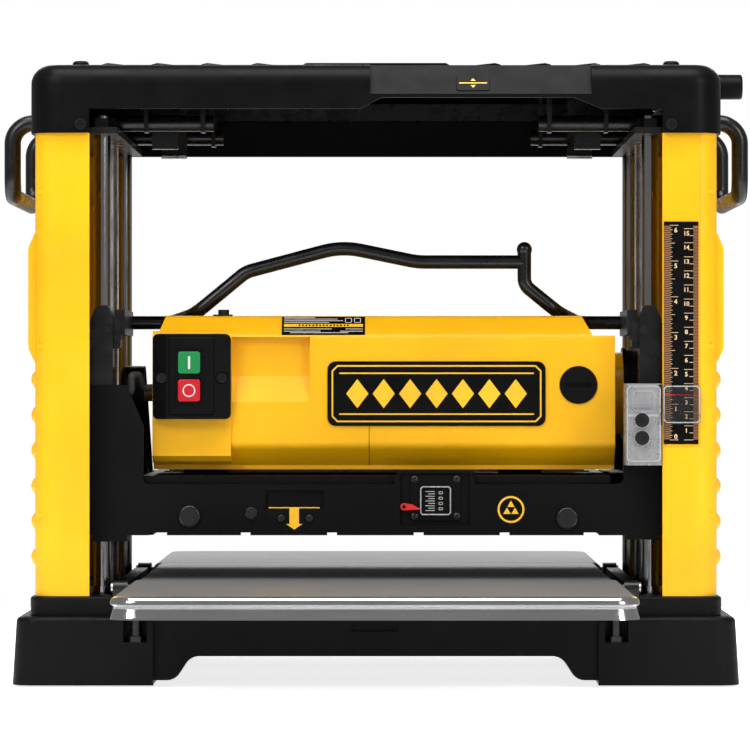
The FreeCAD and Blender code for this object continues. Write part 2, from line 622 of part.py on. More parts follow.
def carriage_casting():
    apron_back = APRON_Y + APRON_THICK
    outline = [(-207, CARRIAGE_Z), (-207, TOWER_Z), (-178.6, TOWER_Z), (-166.5, 185), (-166.5, SADDLE_Z),
               (13, SADDLE_Z), (15, 153), (69, 153), (71, SADDLE_Z), (177, SADDLE_Z), (177, TOWER_Z),
               (207, TOWER_Z), (207, CARRIAGE_Z)]
    apron = prism("Y", outline, (APRON_Y, apron_back))
    apron = round_edges(apron, 4, Y_AXIS, lambda c: 165 < abs(c.x) < 180 and c.z < 150)
    tower = block((TOWER_IN_X, TOWER_OUT_X), (APRON_Y, -124), (CARRIAGE_Z, TOWER_Z))
    tower = round_edges(tower, 5, Z_AXIS, lambda c: c.y > -130)
    cheek = block(CHEEK_X, (apron_back, -apron_back), (CARRIAGE_Z, DECK_TOP_Z))
    rear_plate = block((-207, 207), (-apron_back, -APRON_Y), (CARRIAGE_Z, SADDLE_Z))
    front_deck = block((-160, 160), (apron_back, -6), (SADDLE_Z - 4, DECK_TOP_Z))
    rear_deck = block((-160, 160), (60, -apron_back), (SADDLE_Z - 4, DECK_TOP_Z))
    tie = block((168, TOWER_OUT_X), (60, 80), (139.5, DECK_TOP_Z))
    ear = block((188, TOWER_OUT_X), (-12, 80), (150, 162))
    rise = block((188, TOWER_OUT_X), (60, 80), (DECK_TOP_Z, 150))
    motor_feet = [block((x, x + 30), (-100, -30), (DECK_TOP_Z, 153)) for x in (-140, 90)]
    body = fuse(apron, rear_plate, front_deck, rear_deck, *left_right(cheek, tie, ear, rise),
                *left_right(*front_back(tower)), *motor_feet)
    post_feet = [block((178, 203), (APRON_Y, -124), (102, CARRIAGE_Z)).mirror(Vector(0, 0, 0), X_AXIS),
                 block((178, 203), (APRON_Y, -124), (103.5, CARRIAGE_Z))]
    needle_stud = rod(1.2, (NEEDLE_X, APRON_Y - 2.6, NEEDLE_Z), (NEEDLE_X, APRON_Y + 3.5, NEEDLE_Z))
    body = fuse(body, *post_feet)
    low, high = CHEEK_X[0] - 1, CHEEK_X[1] + 1
    tools = [rod(7.5, (x, y, CARRIAGE_Z - 6), (x, y, TOWER_Z + 1)) for x, y in post_places()]
    tools += left_right(rod(16, (low, CUT_Y, CUT_Z), (high, CUT_Y, CUT_Z)))
    for y in ROLLER_Y:
        tools += left_right(rod(10, (low, y, ROLLER_Z), (high, y, ROLLER_Z)))
    tools += left_right(rod(9, (SCREW_X, 0, 140), (SCREW_X, 0, 170)))
    tools.append(block(GAUGE_X, (APRON_Y - 1, APRON_Y + 3), GAUGE_Z))
    tools.append(block((-79, -37.3), (APRON_Y - 1, APRON_Y + 3), (125.1, 138.7)))
    for middle, width in APRON_NOTCHES:
        tools.append(block((middle - width / 2, middle + width / 2), (APRON_Y - 1, apron_back + 1),
                           (CARRIAGE_Z - 1, CARRIAGE_Z + 2)))
    tools += [rod(2.5, (x, APRON_Y - 1, z), (x, APRON_Y + 6, z)) for x, z, head in APRON_SCREWS]
    screw_x = POINTER_SCREW_X
    tools += [rod(2.5, (screw_x, APRON_Y - 1, z), (screw_x, APRON_Y + 4, z)) for z in POINTER_SCREW_Z]
    return fuse(cut(body, *tools), needle_stud)


def carriage_screws():
    """Every visible screw of the carriage: apron, switch plate, depth pointer and gauge plate."""
    screws = []
    for x, z, head in APRON_SCREWS:
        rise = 3.0 if head > 5 else 1.6
        cap = rod(head, (x, APRON_Y - rise, z), (x, APRON_Y, z))
        cap = round_rim(cap, rise * 0.6, lambda c: c.y < APRON_Y - rise + 0.1)
        screws.append(fuse(cap, rod(2.5, (x, APRON_Y, z), (x, APRON_Y + 6, z))))
    x = POINTER_SCREW_X
    for z in POINTER_SCREW_Z:
        head = rod(5, (x, POINTER_FRONT - 3, z), (x, POINTER_FRONT, z))
        head = head.cut(rod(2.2, (x, POINTER_FRONT - 4, z), (x, POINTER_FRONT - 1.5, z)))
        screws.append(fuse(head, rod(2.5, (x, POINTER_FRONT, z), (x, APRON_Y + 4, z))))
    for x, z in SWITCH_SCREWS:
        head = rod(SWITCH_SCREW_R, (x, SWITCH_SEAT - 2, z), (x, SWITCH_SEAT, z))
        head = head.cut(rod(1.6, (x, SWITCH_SEAT - 3, z), (x, SWITCH_SEAT - 1, z)))
        screws.append(fuse(head, rod(1.8, (x, SWITCH_SEAT, z), (x, SWITCH_SEAT + 6, z))))
    for x in (27.5, 57.7):
        for z in (120, 146.5):
            screws.append(rod(1.4, (x, APRON_Y + 0.6, z), (x, APRON_Y + 1, z)))
    # the clip and nut on top of the motor housing
    top_y, top_z = -106.0, 264.0
    screws.append(fuse(block((-118, -104), (top_y - 5, top_y + 5), (top_z, top_z + 1)),
                       hex_head(4, (-110.5, top_y, top_z + 1), (-110.5, top_y, top_z + 4.5))))
    return screws


def post_bushings():
    bushes = []
    for x, y in post_places():
        sleeve = tube(7.5, POST_R + RUN, (x, y, CARRIAGE_Z), (x, y, TOWER_Z))
        bushes.append(sleeve)
    return bushes


def lift_nuts():
    flange = rod(11.5, (SCREW_X, 0, 162), (SCREW_X, 0, 172))
    barrel = rod(9, (SCREW_X, 0, 150), (SCREW_X, 0, 162))
    nut = fuse(flange, barrel).cut(rod(SCREW_R + RUN, (SCREW_X, 0, 140), (SCREW_X, 0, 180)))
    return left_right(nut)


# --- Motor housing, switch and labels -----------------------------------------------------------

def motor_housing():
    """The housing in its two halves, left and right."""
    low, high = HOUSING_X
    body = prism("X", HOUSING_OUTLINE, HOUSING_X)
    body = round_edges(body, 7, X_AXIS, lambda c: c.y < -90 and c.z > 160)
    for a, b in ((low - 1, -SHOULDER_X), (SHOULDER_X, high + 1)):
        body = body.cut(block((a, b), (-98, 10), (SHOULDER_Z, 270)))
    # the corners step down to a short shelf at each end
    body = body.cut(prism("Y", [(low - 1, 253), (low + 5, 253), (low + 9.5, 265), (low - 1, 265)], (-135, 5)))
    body = body.cut(prism("Y", [(high + 1, 249.6), (high - 16, 249.6), (high - 24, 265), (high + 1, 265)],
                          (-135, 5)))
    # the block below the switch, which comes further down than the rest of the front
    body = body.fuse(prism("X", [(-112, 157), (-124, 159), (-129.5, 163), (-129.5, 192), (-112, 192)],
                           (low, SWITCH_X[1])))
    cavity = prism("X", CAVITY_OUTLINE, (low + 4, high - 4))
    for a, b in ((low, -SHOULDER_X + 4), (SHOULDER_X - 4, high)):
        cavity = cavity.cut(block((a, b), (-103, 10), (SHOULDER_Z - 4, 270)))
    cavity = cavity.cut(block((low, low + 14), (-135, 5), (247, 265)))
    cavity = cavity.cut(block((high - 30, high), (-135, 5), (244, 265)))
    body = body.cut(cavity)
    collar = rod(30, (high, MOTOR_Y, MOTOR_Z), (END_CAP_X[0], MOTOR_Y, MOTOR_Z))
    body = fuse(body, collar)
    # walls inside that carry the bearings and the field coils
    for a, bore in ((-112, 13), (-60, 43), (50, 43), (100, 13)):
        wall = prism("X", CAVITY_OUTLINE, (a, a + 8)).common(cavity)
        body = fuse(body, wall.cut(rod(bore, (a - 1, MOTOR_Y, MOTOR_Z), (a + 9, MOTOR_Y, MOTOR_Z))))
    recess = prism("X", [(-130, 248.6), (-119.5, 248.6), (-119.5, 220.5), (-128.01, 201.8), (-130, 201.8)],
                   (-103.7, -47.6))
    shaft_hole = rod(9, (low - 1, MOTOR_Y, MOTOR_Z), (low + 5, MOTOR_Y, MOTOR_Z))
    cap_hole = rod(14.05, (high - 5, MOTOR_Y, MOTOR_Z), (END_CAP_X[0] + 1, MOTOR_Y, MOTOR_Z))
    brush_holes = [rod(13.7, (BRUSH_X, HOUSING_FRONT - 1, BRUSH_Z), (BRUSH_X, HOUSING_FRONT + 5, BRUSH_Z)),
                   rod(8, (BRUSH_X, HOUSING_FRONT - 1, BRUSH_Z), (BRUSH_X, -110, BRUSH_Z)),
                   rod(8, (BRUSH_X, -8, BRUSH_Z), (BRUSH_X, 2, BRUSH_Z))]
    screw_holes = [rod(1.8, (x, HOUSING_FRONT - 1, z), (x, -126, z)) for x, z in SWITCH_SCREWS]
    gland_hole = rod(6, (GLAND_X, -8, GLAND_Z), (GLAND_X, 2, GLAND_Z))
    body = cut(body, recess, shaft_hole, cap_hole, gland_hole, *brush_holes, *screw_holes)
    left = body.common(block((low - 5, HOUSING_SPLIT_X), (-140, 10), (140, 280)))
    right = body.common(block((HOUSING_SPLIT_X, high + 15), (-140, 10), (140, 280)))
    return left, right


def brush_caps():
    x, z = BRUSH_X, BRUSH_Z
    front = fuse(rod(13.5, (x, HOUSING_FRONT - 1, z), (x, HOUSING_FRONT + 5, z)),
                 rod(8, (x, HOUSING_FRONT + 5, z), (x, -114, z)))
    front = front.cut(block((x - 9, x + 9), (HOUSING_FRONT - 2, HOUSING_FRONT + 1.5), (z - 1.6, z + 1.6)))
    rear = fuse(rod(12, (x, 0, z), (x, 2, z)), rod(8, (x, -6, z), (x, 0, z)))
    rear = rear.cut(block((x - 8, x + 8), (1, 3), (z - 1.5, z + 1.5)))
    return [front, rear]


def switch_box():
    """The switch plate: wings that slope away on both sides of a raised middle with the two keys."""
    left, right = SWITCH_X
    back = HOUSING_FRONT - 1.5
    box = prism("Z", [(left, back), (left, -135), (left + 10, SWITCH_FRONT), (right - 10, SWITCH_FRONT),
                      (right, -135), (right, back)], SWITCH_Z)
    box = round_edges(box, 4, Y_AXIS)
    panel_front = SWITCH_FRONT - 1.5
    panel = block((-148.5, -116.4), (panel_front, SWITCH_FRONT + 1), (192.5, 248.4))
    panel = round_edges(panel, 2, Y_AXIS)
    panel = round_rim(panel, 1.2, lambda c: c.y < panel_front + 0.1)
    tools = [block((-144.5, -123.5), (panel_front - 1, SWITCH_FRONT - 0.6), (199.5, 240.5))]
    for x, z in (START_BUTTON, STOP_BUTTON):
        tools.append(block((x[0] - GAP, x[1] + GAP), (panel_front - 1, HOUSING_FRONT - 1),
                           (z[0] - GAP, z[1] + GAP)))
    for x, z in SWITCH_SCREWS:
        tools.append(rod(1.8, (x, SWITCH_FRONT - 1, z), (x, HOUSING_FRONT + 1, z)))
        tools.append(rod(SWITCH_SCREW_R + 0.6, (x, SWITCH_FRONT - 1, z), (x, SWITCH_SEAT, z)))
    return cut(fuse(box, panel), *tools)


def button(place, front_y):
    x, z = place
    key = block(x, (front_y, -133), z)
    key = round_edges(key, 2, Y_AXIS)
    return round_rim(key, 0.8, lambda c: c.y < front_y + 0.1)


def nameplates():
    plate = block((-35, 122), (HOUSING_FRONT - 1.2, HOUSING_FRONT), (184.5, 231))
    plate = round_edges(plate, 6, Y_AXIS)
    slope = [(-126.94, 250.06), (-113.15, 262.99), (-113.53, 263.39), (-127.32, 250.46)]
    return [plate, prism("X", slope, (-68, -8))]


# --- Motor, belt and cutting gear ---------------------------------------------------------------

def stator():
    ring = tube(42.9, 31, (-48, MOTOR_Y, MOTOR_Z), (48, MOTOR_Y, MOTOR_Z))
    flat = block((-49, 49), (MOTOR_Y - 8, MOTOR_Y + 8), (MOTOR_Z - 34, MOTOR_Z + 34))
    ends = [tube(42.9, 38, (a, MOTOR_Y, MOTOR_Z), (a + 12, MOTOR_Y, MOTOR_Z)) for a in (-60, 48)]
    return fuse(ring.cut(flat), *ends)


def armature():
    core = rod(30, (-46, MOTOR_Y, MOTOR_Z), (46, MOTOR_Y, MOTOR_Z))
    slots = []
    for number in range(12):
        angle = 2 * math.pi * number / 12
        y, z = MOTOR_Y + 30 * math.cos(angle), MOTOR_Z + 30 * math.sin(angle)
        slots.append(rod(2.5, (-47, y, z), (47, y, z)))
    core = cut(core, *slots)
    shaft = rod(6, (-184, MOTOR_Y, MOTOR_Z), (186, MOTOR_Y, MOTOR_Z))
    commutator = rod(14, (132, MOTOR_Y, MOTOR_Z), (158, MOTOR_Y, MOTOR_Z))
    fan = rod(36, (-92, MOTOR_Y, MOTOR_Z), (-88, MOTOR_Y, MOTOR_Z))
    return fuse(core, shaft, commutator, fan)


def motor_end_cap():
    low, high = END_CAP_X
    cap = rod(32, (low, MOTOR_Y, MOTOR_Z), (high, MOTOR_Y, MOTOR_Z))
    cap = round_rim(cap, 5, lambda c: c.x > high - 0.1)
    flange = rod(33.5, (low, MOTOR_Y, MOTOR_Z), (low + 2.5, MOTOR_Y, MOTOR_Z))
    spigot = rod(14, (168, MOTOR_Y, MOTOR_Z), (low, MOTOR_Y, MOTOR_Z))
    cap = fuse(cap, flange, spigot).cut(rod(12, (160, MOTOR_Y, MOTOR_Z), (187, MOTOR_Y, MOTOR_Z)))
    vents = []
    for number in range(8):
        angle = 2 * math.pi * (number + 0.5) / 8
        y, z = MOTOR_Y + 22 * math.cos(angle), MOTOR_Z + 22 * math.sin(angle)
        vents.append(rod(3, (low + 6, y, z), (high + 5, y, z)))
    return cut(cap, *vents)


def shaft_bearings():
    """Ball races of the motor shaft and of the cutterhead."""
    races = [tube(13, 6 + RUN, (-112, MOTOR_Y, MOTOR_Z), (-104, MOTOR_Y, MOTOR_Z)),
             tube(13, 6 + RUN, (100, MOTOR_Y, MOTOR_Z), (108, MOTOR_Y, MOTOR_Z)),
             tube(12, 6 + RUN, (174, MOTOR_Y, MOTOR_Z), (184, MOTOR_Y, MOTOR_Z))]
    low, high = CHEEK_X
    races += left_right(tube(16, 8 + RUN, (low, CUT_Y, CUT_Z), (high, CUT_Y, CUT_Z)))
    return races


def roller_bearings():
    low, high = CHEEK_X
    rings = [tube(10, 6 + RUN, (low, y, ROLLER_Z), (high, y, ROLLER_Z)) for y in ROLLER_Y]
    return [solid for ring in rings for solid in left_right(ring)]


def pulley(centre, radius, shaft_r):
    y, z = centre
    low, high = BELT_X
    wheel = rod(radius, (low, y, z), (high, y, z))
    groove_depth = 1.2
    grooves = []
    for number in range(3):
        x = low + 2.5 + 2.5 * number
        grooves.append(tube(radius + 1, radius - groove_depth, (x, y, z), (x + 1, y, z)))
    return cut(wheel, *grooves, rod(shaft_r, (low - 1, y, z), (high + 1, y, z)))


def drive_belt():
    low, high = BELT_X
    return band("X", (MOTOR_Y, MOTOR_Z), (CUT_Y, CUT_Z), MOTOR_PULLEY_R, CUTTER_PULLEY_R, 2.4,
                (low + 1.5, high - 1.5))


def belt_cover():
    """The guard on the left of the carriage, open on its inner side."""
    wall, motor_room, cutter_room = 2.0, 7.0, 4.0
    motor_r, cutter_r = MOTOR_PULLEY_R + motor_room, CUTTER_PULLEY_R + cutter_room
    outer = two_circle_hull("X", (MOTOR_Y, MOTOR_Z), (CUT_Y, CUT_Z), motor_r + wall, cutter_r + wall,
                            (-187, -169.5))
    outer = round_rim(outer, 3, lambda c: c.x < -186.9)
    inner = two_circle_hull("X", (MOTOR_Y, MOTOR_Z), (CUT_Y, CUT_Z), motor_r, cutter_r, (-187 + wall, -169))
    return outer.cut(inner)


def cutterhead():
    core = rod(21, (-156, CUT_Y, CUT_Z), (156, CUT_Y, CUT_Z))
    seats = []
    for number in range(3):
        turn = 120 * number + 20
        seat = block((-157, 157), (CUT_Y - 4, CUT_Y + 4), (CUT_Z + 10, CUT_Z + 24))
        seat.rotate(Vector(0, CUT_Y, CUT_Z), X_AXIS, turn)
        seats.append(seat)
    core = cut(core, *seats)
    return fuse(core, rod(8, (-184, CUT_Y, CUT_Z), (-156, CUT_Y, CUT_Z)),
                rod(8, (156, CUT_Y, CUT_Z), (173, CUT_Y, CUT_Z)))


def cutter_knives():
    """Three reversible knives, each with the bar that clamps it."""
    knives = []
    for number in range(3):
        turn = 120 * number + 20
        knife = block((-154, 154), (CUT_Y + 1.6, CUT_Y + 3.6), (CUT_Z + 10, CUT_Z + 23.6))
        clamp = block((-154, 154), (CUT_Y - 4, CUT_Y + 1.6), (CUT_Z + 10, CUT_Z + 20))
        for piece in (knife, clamp):
            piece.rotate(Vector(0, CUT_Y, CUT_Z), X_AXIS, turn)
            knives.append(piece)
    return knives


def feed_roller(y):
    cover = rod(ROLLER_R, (-154, y, ROLLER_Z), (154, y, ROLLER_Z))
    cover = round_rim(cover, 1.5, lambda c: True)
    shaft = fuse(cover, rod(6, (-168, y, ROLLER_Z), (190, y, ROLLER_Z)))
    wheel = rod(12, (185.5, y, ROLLER_Z), (189.5, y, ROLLER_Z))
    teeth = [rod(2, (185, y + 12.6 * math.cos(a), ROLLER_Z + 12.6 * math.sin(a)),
                 (190, y + 12.6 * math.cos(a), ROLLER_Z + 12.6 * math.sin(a)))
             for a in [math.radians(30 * k) for k in range(12)]]
    return fuse(shaft, cut(wheel, *teeth))


def feed_chain():
    return band("X", (ROLLER_Y[0], ROLLER_Z), (ROLLER_Y[1], ROLLER_Z), 12, 12, 3.6, (185.5, 189.5))


def feed_gearbox():
    case = block((168, 184), (-58, 56), (108, 150))
    case = round_edges(case, 10, X_AXIS)
    case = round_rim(case, 2, lambda c: c.x > 183.9)
    tools = [rod(6 + GAP, (160, ROLLER_Y[0], ROLLER_Z), (190, ROLLER_Y[0], ROLLER_Z)),
             rod(8 + GAP, (160, CUT_Y, CUT_Z), (174, CUT_Y, CUT_Z))]
    return cut(case, *tools)


def chip_hood():
    """The chute behind the cutterhead, with the round port for a dust hose."""
    y0, y1, z0, z1 = 62, 124, DECK_TOP_Z, 200
    body = prism("X", [(y0, z0), (y0, 180), (80, z1), (y1, z1), (y1, z0)], (-150, 150))
    hollow = prism("X", [(y0 - 1, z0 + 3), (y0 - 1, 172), (82, z1 - 3), (y1 - 3, z1 - 3), (y1 - 3, z0 + 3)],
                   (-147, 147))
    spout = rod(34, (95, y1, 186), (95, 156, 186))
    bore = rod(31, (95, y1 - 4, 186), (95, 157, 186))
    return cut(fuse(body, spout), hollow, bore)


# --- Gauge, depth pointer, leads and lock -------------------------------------------------------

def gauge_plate():
    """The small removal gauge in the apron: plate, window frame and scale."""
    plate = block((25, 60.2), (APRON_Y + 1, APRON_Y + 3), (117.2, 149.5))
    plate = round_edges(plate, 2, Y_AXIS)
    frame = block((31.5, 53.7), (APRON_Y - 0.4, APRON_Y + 1), (121.5, 141.6))
    window = block((33, 52.2), (APRON_Y - 1, APRON_Y + 1), (121, 140.4))
    frame = round_edges(frame, 1, Y_AXIS)
    return fuse(plate, frame.cut(window))


def gauge_pointer():
    back, front = APRON_Y - 1.2, APRON_Y - 2.2
    outline = [(NEEDLE_X, NEEDLE_Z - 2.6), (NEEDLE_X + 12.5, NEEDLE_Z - 2), (NEEDLE_X + 6, NEEDLE_Z + 1.6),
               (NEEDLE_X, NEEDLE_Z + 2.6)]
    needle = prism("Y", outline, (front, back))
    eye = rod(2.6, (NEEDLE_X, front, NEEDLE_Z), (NEEDLE_X, back, NEEDLE_Z))
    bore = rod(1.2 + RUN, (NEEDLE_X, front - 1, NEEDLE_Z), (NEEDLE_X, back + 1, NEEDLE_Z))
    return fuse(needle, eye).cut(bore)


def depth_pointer():
    """The clear pointer that reads against the depth scale."""
    front = POINTER_FRONT
    box = block((177, 203), (front, APRON_Y), (157, 215))
    box = round_edges(box, 3, Z_AXIS, lambda c: c.y < front + 1)
    hollow = block((179, 201), (front + 2, APRON_Y - 2), (156, 213))
    wing = block((199, 231), (front, front + 1.8), (186, 214))
    wing = round_edges(wing, 3, Y_AXIS, lambda c: c.x > 230)
    rib = block((201, 230.5), (front - 1.2, front), (191.5, 193.2))
    shelf = block((178, 202), (front - 1, front), (198, 199.5))
    screw_x = POINTER_SCREW_X
    holes = [rod(2.5, (screw_x, front - 2, z), (screw_x, APRON_Y + 1, z)) for z in POINTER_SCREW_Z]
    return cut(fuse(box, wing, rib, shelf), hollow, *holes)


def switch_lead():
    path = [(-161, -119, 212), (-168, -119, 212), (-171, -124, 221), (-176, -133, 221), (-176, -133, 208),
            (-TOWER_IN_X, -133, 208)]
    return bent_rod(2.6, path, 2.7)


def cable_gland():
    x, z = GLAND_X, GLAND_Z
    collar = rod(9, (x, 0, z), (x, 6, z))
    stem = rod(6, (x, -6, z), (x, 0, z))
    return fuse(collar, stem).cut(rod(4, (x, -7, z), (x, 7, z)))


def lock_brackets():
    front, back = -148.5, -128.0
    clamp = prism("Y", [(188.3, TOWER_Z), (188.3, 262), (191, 271), (200, 271), (204, 262), (207, 244),
                        (207, TOWER_Z)], (front, back))
    clamp = round_edges(clamp, 3, Y_AXIS, lambda c: c.z > TOWER_Z + 2)
    arm = block((180, 187.5), (-140, -32), (250, 268))
    arm = round_edges(arm, 6, X_AXIS, lambda c: c.y > -33)
    bracket = fuse(clamp, arm)
    ear = block((183, 190), (-142, back), (240, 262))
    bracket = fuse(bracket, round_edges(ear, 3, Y_AXIS, lambda c: c.x < 184))
    places = ((184.9, -142, 248), (192, front, 254), (203.4, front, 236))
    bolts = [hex_head(3.2, (x, y - 2.5, z), (x, y, z)) for x, y, z in places]
    tools = [rod(POST_R + GAP, (POST_X, -POST_Y, 210), (POST_X, -POST_Y, 275)),
             rod(LEVER_R + RUN, (170, LEVER_Y, LEVER_Z), (200, LEVER_Y, LEVER_Z))]
    return left_right(cut(bracket, *tools), *bolts)


def lock_lever():
    y, plane = LEVER_Y, LEVER_PLANE_Y
    hook_x, hook_low, hook_high = 108, 287, 312.8
    path = [(-188, y, LEVER_Z), (-152, y, LEVER_Z), (-132, plane, 266), (-95, plane, 296.5),
            (-25, plane, 315), (30, plane, 303.7), (hook_x, plane, 303.7)]
    bar = bent_rod(LEVER_R, path, [12, 12, 22, 60, 60])
    arm = bent_rod(LEVER_R, [(hook_x, plane, hook_high), (hook_x, plane, hook_low), (132.5, plane, 267),
                             (149, y, LEVER_Z), (188, y, LEVER_Z)], [10, 12, 12])
    tip = Part.makeSphere(LEVER_R + 0.6, Vector(hook_x, plane, hook_high))
    return fuse(bar, arm, tip)


# --- Build every piece --------------------------------------------------------------------------

def main():
    save("base_casting", base_casting())
    save("rubber_feet", *rubber_feet())
    save("bed_platen", bed_platen())
    save("table_stop_screws", *table_stop_screws())
    save("hinge_brackets", *hinge_brackets())
    save("hinge_pins", *hinge_pins())
    table = folding_table()
    save("infeed_table", table)
    save("outfeed_table", in_y(table))

    save("guide_posts", *guide_posts())
    save("post_nuts", *post_nuts())
    save("top_frame", top_frame())
    save("top_cover", top_cover())
    save("cover_screws", *cover_screws())
    save("cover_caps", *cover_caps())
    panel = side_panel_right()
    save("side_panel_right", cut(panel, scale_recess()))
    save("side_panel_left", in_x(panel))
    save("depth_scale", depth_scale())
    handle = carry_handle_right()
    save("carry_handle_right", handle)
    save("carry_handle_left", in_x(handle))
    save("handle_brackets", *handle_brackets())

    save("screw_bearings", *screw_bearings())
    save("jackscrew_left", *jackscrew(-1, 407))
    gear = bevel_gear()
    gear.translate(Vector(SCREW_X, 0, CRANK_Z))
    gear = gear.cut(rod(SCREW_R - 3, (SCREW_X, 0, 390), (SCREW_X, 0, CRANK_Z)))
    stem = rod(SCREW_R - 3, (SCREW_X, 0, 400.5), (SCREW_X, 0, 408))
    right_screw = jackscrew(1, 400.5)
    save("jackscrew_right", fuse(right_screw[0], stem), right_screw[1], gear)
    save("elevation_chain", elevation_chain())
    crank_gear = bevel_gear()
    crank_gear.rotate(Vector(0, 0, 0), Z_AXIS, 15)
    crank_gear.rotate(Vector(0, 0, 0), Y_AXIS, -90)
    crank_gear.translate(Vector(SCREW_X, 0, CRANK_Z))
    crank_shaft = rod(5, (212.6, 0, CRANK_Z), (CRANK_ARM_X[1] - 2, 0, CRANK_Z))
    save("crank_shaft", fuse(crank_gear, crank_shaft))
    arm, grip_y = crank_arm()
    save("crank_arm", arm)
    save("crank_grip", crank_grip(grip_y))

    save("carriage_casting", carriage_casting())
    save("carriage_screws", *carriage_screws())
    save("post_bushings", *post_bushings())
    save("lift_nuts", *lift_nuts())
    left, right = motor_housing()
    save("motor_housing_left", left)
    save("motor_housing_right", right)
    save("switch_box", switch_box())
    save("start_button", button(START_BUTTON, -143))
    save("stop_button", button(STOP_BUTTON, -144.5))
    save("brush_caps", *brush_caps())
    save("nameplates", *nameplates())
    save("stator", stator())
    save("armature", armature())
    save("motor_end_cap", motor_end_cap())
    save("shaft_bearings", *shaft_bearings(), *roller_bearings())
    save("motor_pulley", pulley((MOTOR_Y, MOTOR_Z), MOTOR_PULLEY_R, 6))
    save("cutter_pulley", pulley((CUT_Y, CUT_Z), CUTTER_PULLEY_R, 8))
    save("drive_belt", drive_belt())
    save("belt_cover", belt_cover())
    save("cutterhead", cutterhead())
    save("cutter_knives", *cutter_knives())
    save("infeed_roller", feed_roller(ROLLER_Y[0]))
    save("outfeed_roller", feed_roller(ROLLER_Y[1]))
    save("feed_chain", feed_chain())
    save("feed_gearbox", feed_gearbox())
    save("chip_hood", chip_hood())
    save("gauge_plate", gauge_plate())
    save("gauge_pointer", gauge_pointer())
    save("depth_pointer", depth_pointer())
    save("switch_lead", switch_lead())
    save("cable_gland", cable_gland())
    save("lock_brackets", *lock_brackets())
    save("lock_lever", lock_lever())


main()
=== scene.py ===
"""Looks of the thickness planer: materials, small details, floor, light and camera."""

import bpy
import bmesh
import json
import math
from mathutils import Matrix, Vector


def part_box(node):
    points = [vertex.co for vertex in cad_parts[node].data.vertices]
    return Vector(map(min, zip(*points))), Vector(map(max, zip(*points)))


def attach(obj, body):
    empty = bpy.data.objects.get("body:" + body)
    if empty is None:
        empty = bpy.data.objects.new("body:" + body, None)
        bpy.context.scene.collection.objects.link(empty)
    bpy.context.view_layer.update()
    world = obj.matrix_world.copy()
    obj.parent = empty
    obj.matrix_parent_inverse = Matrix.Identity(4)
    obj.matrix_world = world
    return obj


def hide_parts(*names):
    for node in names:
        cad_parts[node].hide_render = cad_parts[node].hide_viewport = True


MM = 0.001
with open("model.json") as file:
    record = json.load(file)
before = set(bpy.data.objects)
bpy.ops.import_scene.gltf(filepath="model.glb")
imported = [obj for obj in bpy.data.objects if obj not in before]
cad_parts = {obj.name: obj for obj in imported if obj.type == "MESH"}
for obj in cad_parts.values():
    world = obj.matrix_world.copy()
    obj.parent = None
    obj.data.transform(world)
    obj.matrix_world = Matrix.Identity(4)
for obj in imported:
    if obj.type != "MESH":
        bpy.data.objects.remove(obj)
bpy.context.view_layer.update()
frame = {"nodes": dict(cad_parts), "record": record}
nodes = frame["nodes"]


# --- Materials ----------------------------------------------------------------------------------

class Shader:
    """A Principled material whose colour, roughness and surface come from procedural textures."""

    def __init__(self, name, **values):
        self.material = bpy.data.materials.new(name)
        self.material.use_nodes = True
        self.tree = self.material.node_tree
        self.bsdf = self.tree.nodes["Principled BSDF"]
        self.place = self.tree.nodes.new("ShaderNodeTexCoord").outputs["Object"]
        self.height = None
        for socket, value in values.items():
            self.bsdf.inputs[socket.replace("_", " ")].default_value = value

    def node(self, kind, inputs=(), **settings):
        made = self.tree.nodes.new(kind)
        for key, value in settings.items():
            setattr(made, key, value)
        for key, value in dict(inputs).items():
            if isinstance(value, bpy.types.NodeSocket):
                self.tree.links.new(value, made.inputs[key])
            else:
                made.inputs[key].default_value = value
        return made

    def noise(self, scale, detail=3.0, stretch=(1, 1, 1), rough=0.5):
        place = self.node("ShaderNodeMapping", {"Vector": self.place, "Scale": stretch}).outputs[0]
        made = self.node("ShaderNodeTexNoise", {"Vector": place, "Scale": scale, "Detail": detail, "Roughness": rough})
        return made.outputs["Fac"]

    def spread(self, source, low, high, start=0.3, end=0.7):
        return self.node("ShaderNodeMapRange", {"Value": source, "From Min": start, "From Max": end,
                                                "To Min": low, "To Max": high}).outputs[0]

    def colour(self, source, first, second, start=0.3, end=0.7):
        ramp = self.node("ShaderNodeValToRGB", {"Fac": source})
        ramp.color_ramp.elements[0].position = start
        ramp.color_ramp.elements[1].position = end
        ramp.color_ramp.elements[0].color = (*first, 1)
        ramp.color_ramp.elements[1].color = (*second, 1)
        self.tree.links.new(ramp.outputs["Color"], self.bsdf.inputs["Base Color"])
        return self

    def roughness(self, source, low, high, start=0.3, end=0.7):
        self.tree.links.new(self.spread(source, low, high, start, end), self.bsdf.inputs["Roughness"])
        return self

    def bump(self, source, depth_mm, strength=1.0):
        values = {"Height": source, "Distance": depth_mm * MM, "Strength": strength}
        if self.height is not None:
            values["Normal"] = self.height
        self.height = self.node("ShaderNodeBump", values).outputs["Normal"]
        self.tree.links.new(self.height, self.bsdf.inputs["Normal"])
        return self


def tint(colour, factor):
    return tuple(min(1.0, c * factor) for c in colour)


def moulded(name, colour, rough, grain=900, depth=0.04, **values):
    """Injection-moulded plastic: fine grain, faint flow marks and a little dust in the finish."""
    s = Shader(name, **values)
    s.colour(s.noise(14, 4), tint(colour, 0.9), tint(colour, 1.06))
    s.roughness(s.noise(60, 5), rough - 0.06, rough + 0.08)
    s.bump(s.noise(grain, 2), depth, 0.5)
    s.bump(s.noise(8, 1), 0.08, 0.25)
    return s.material


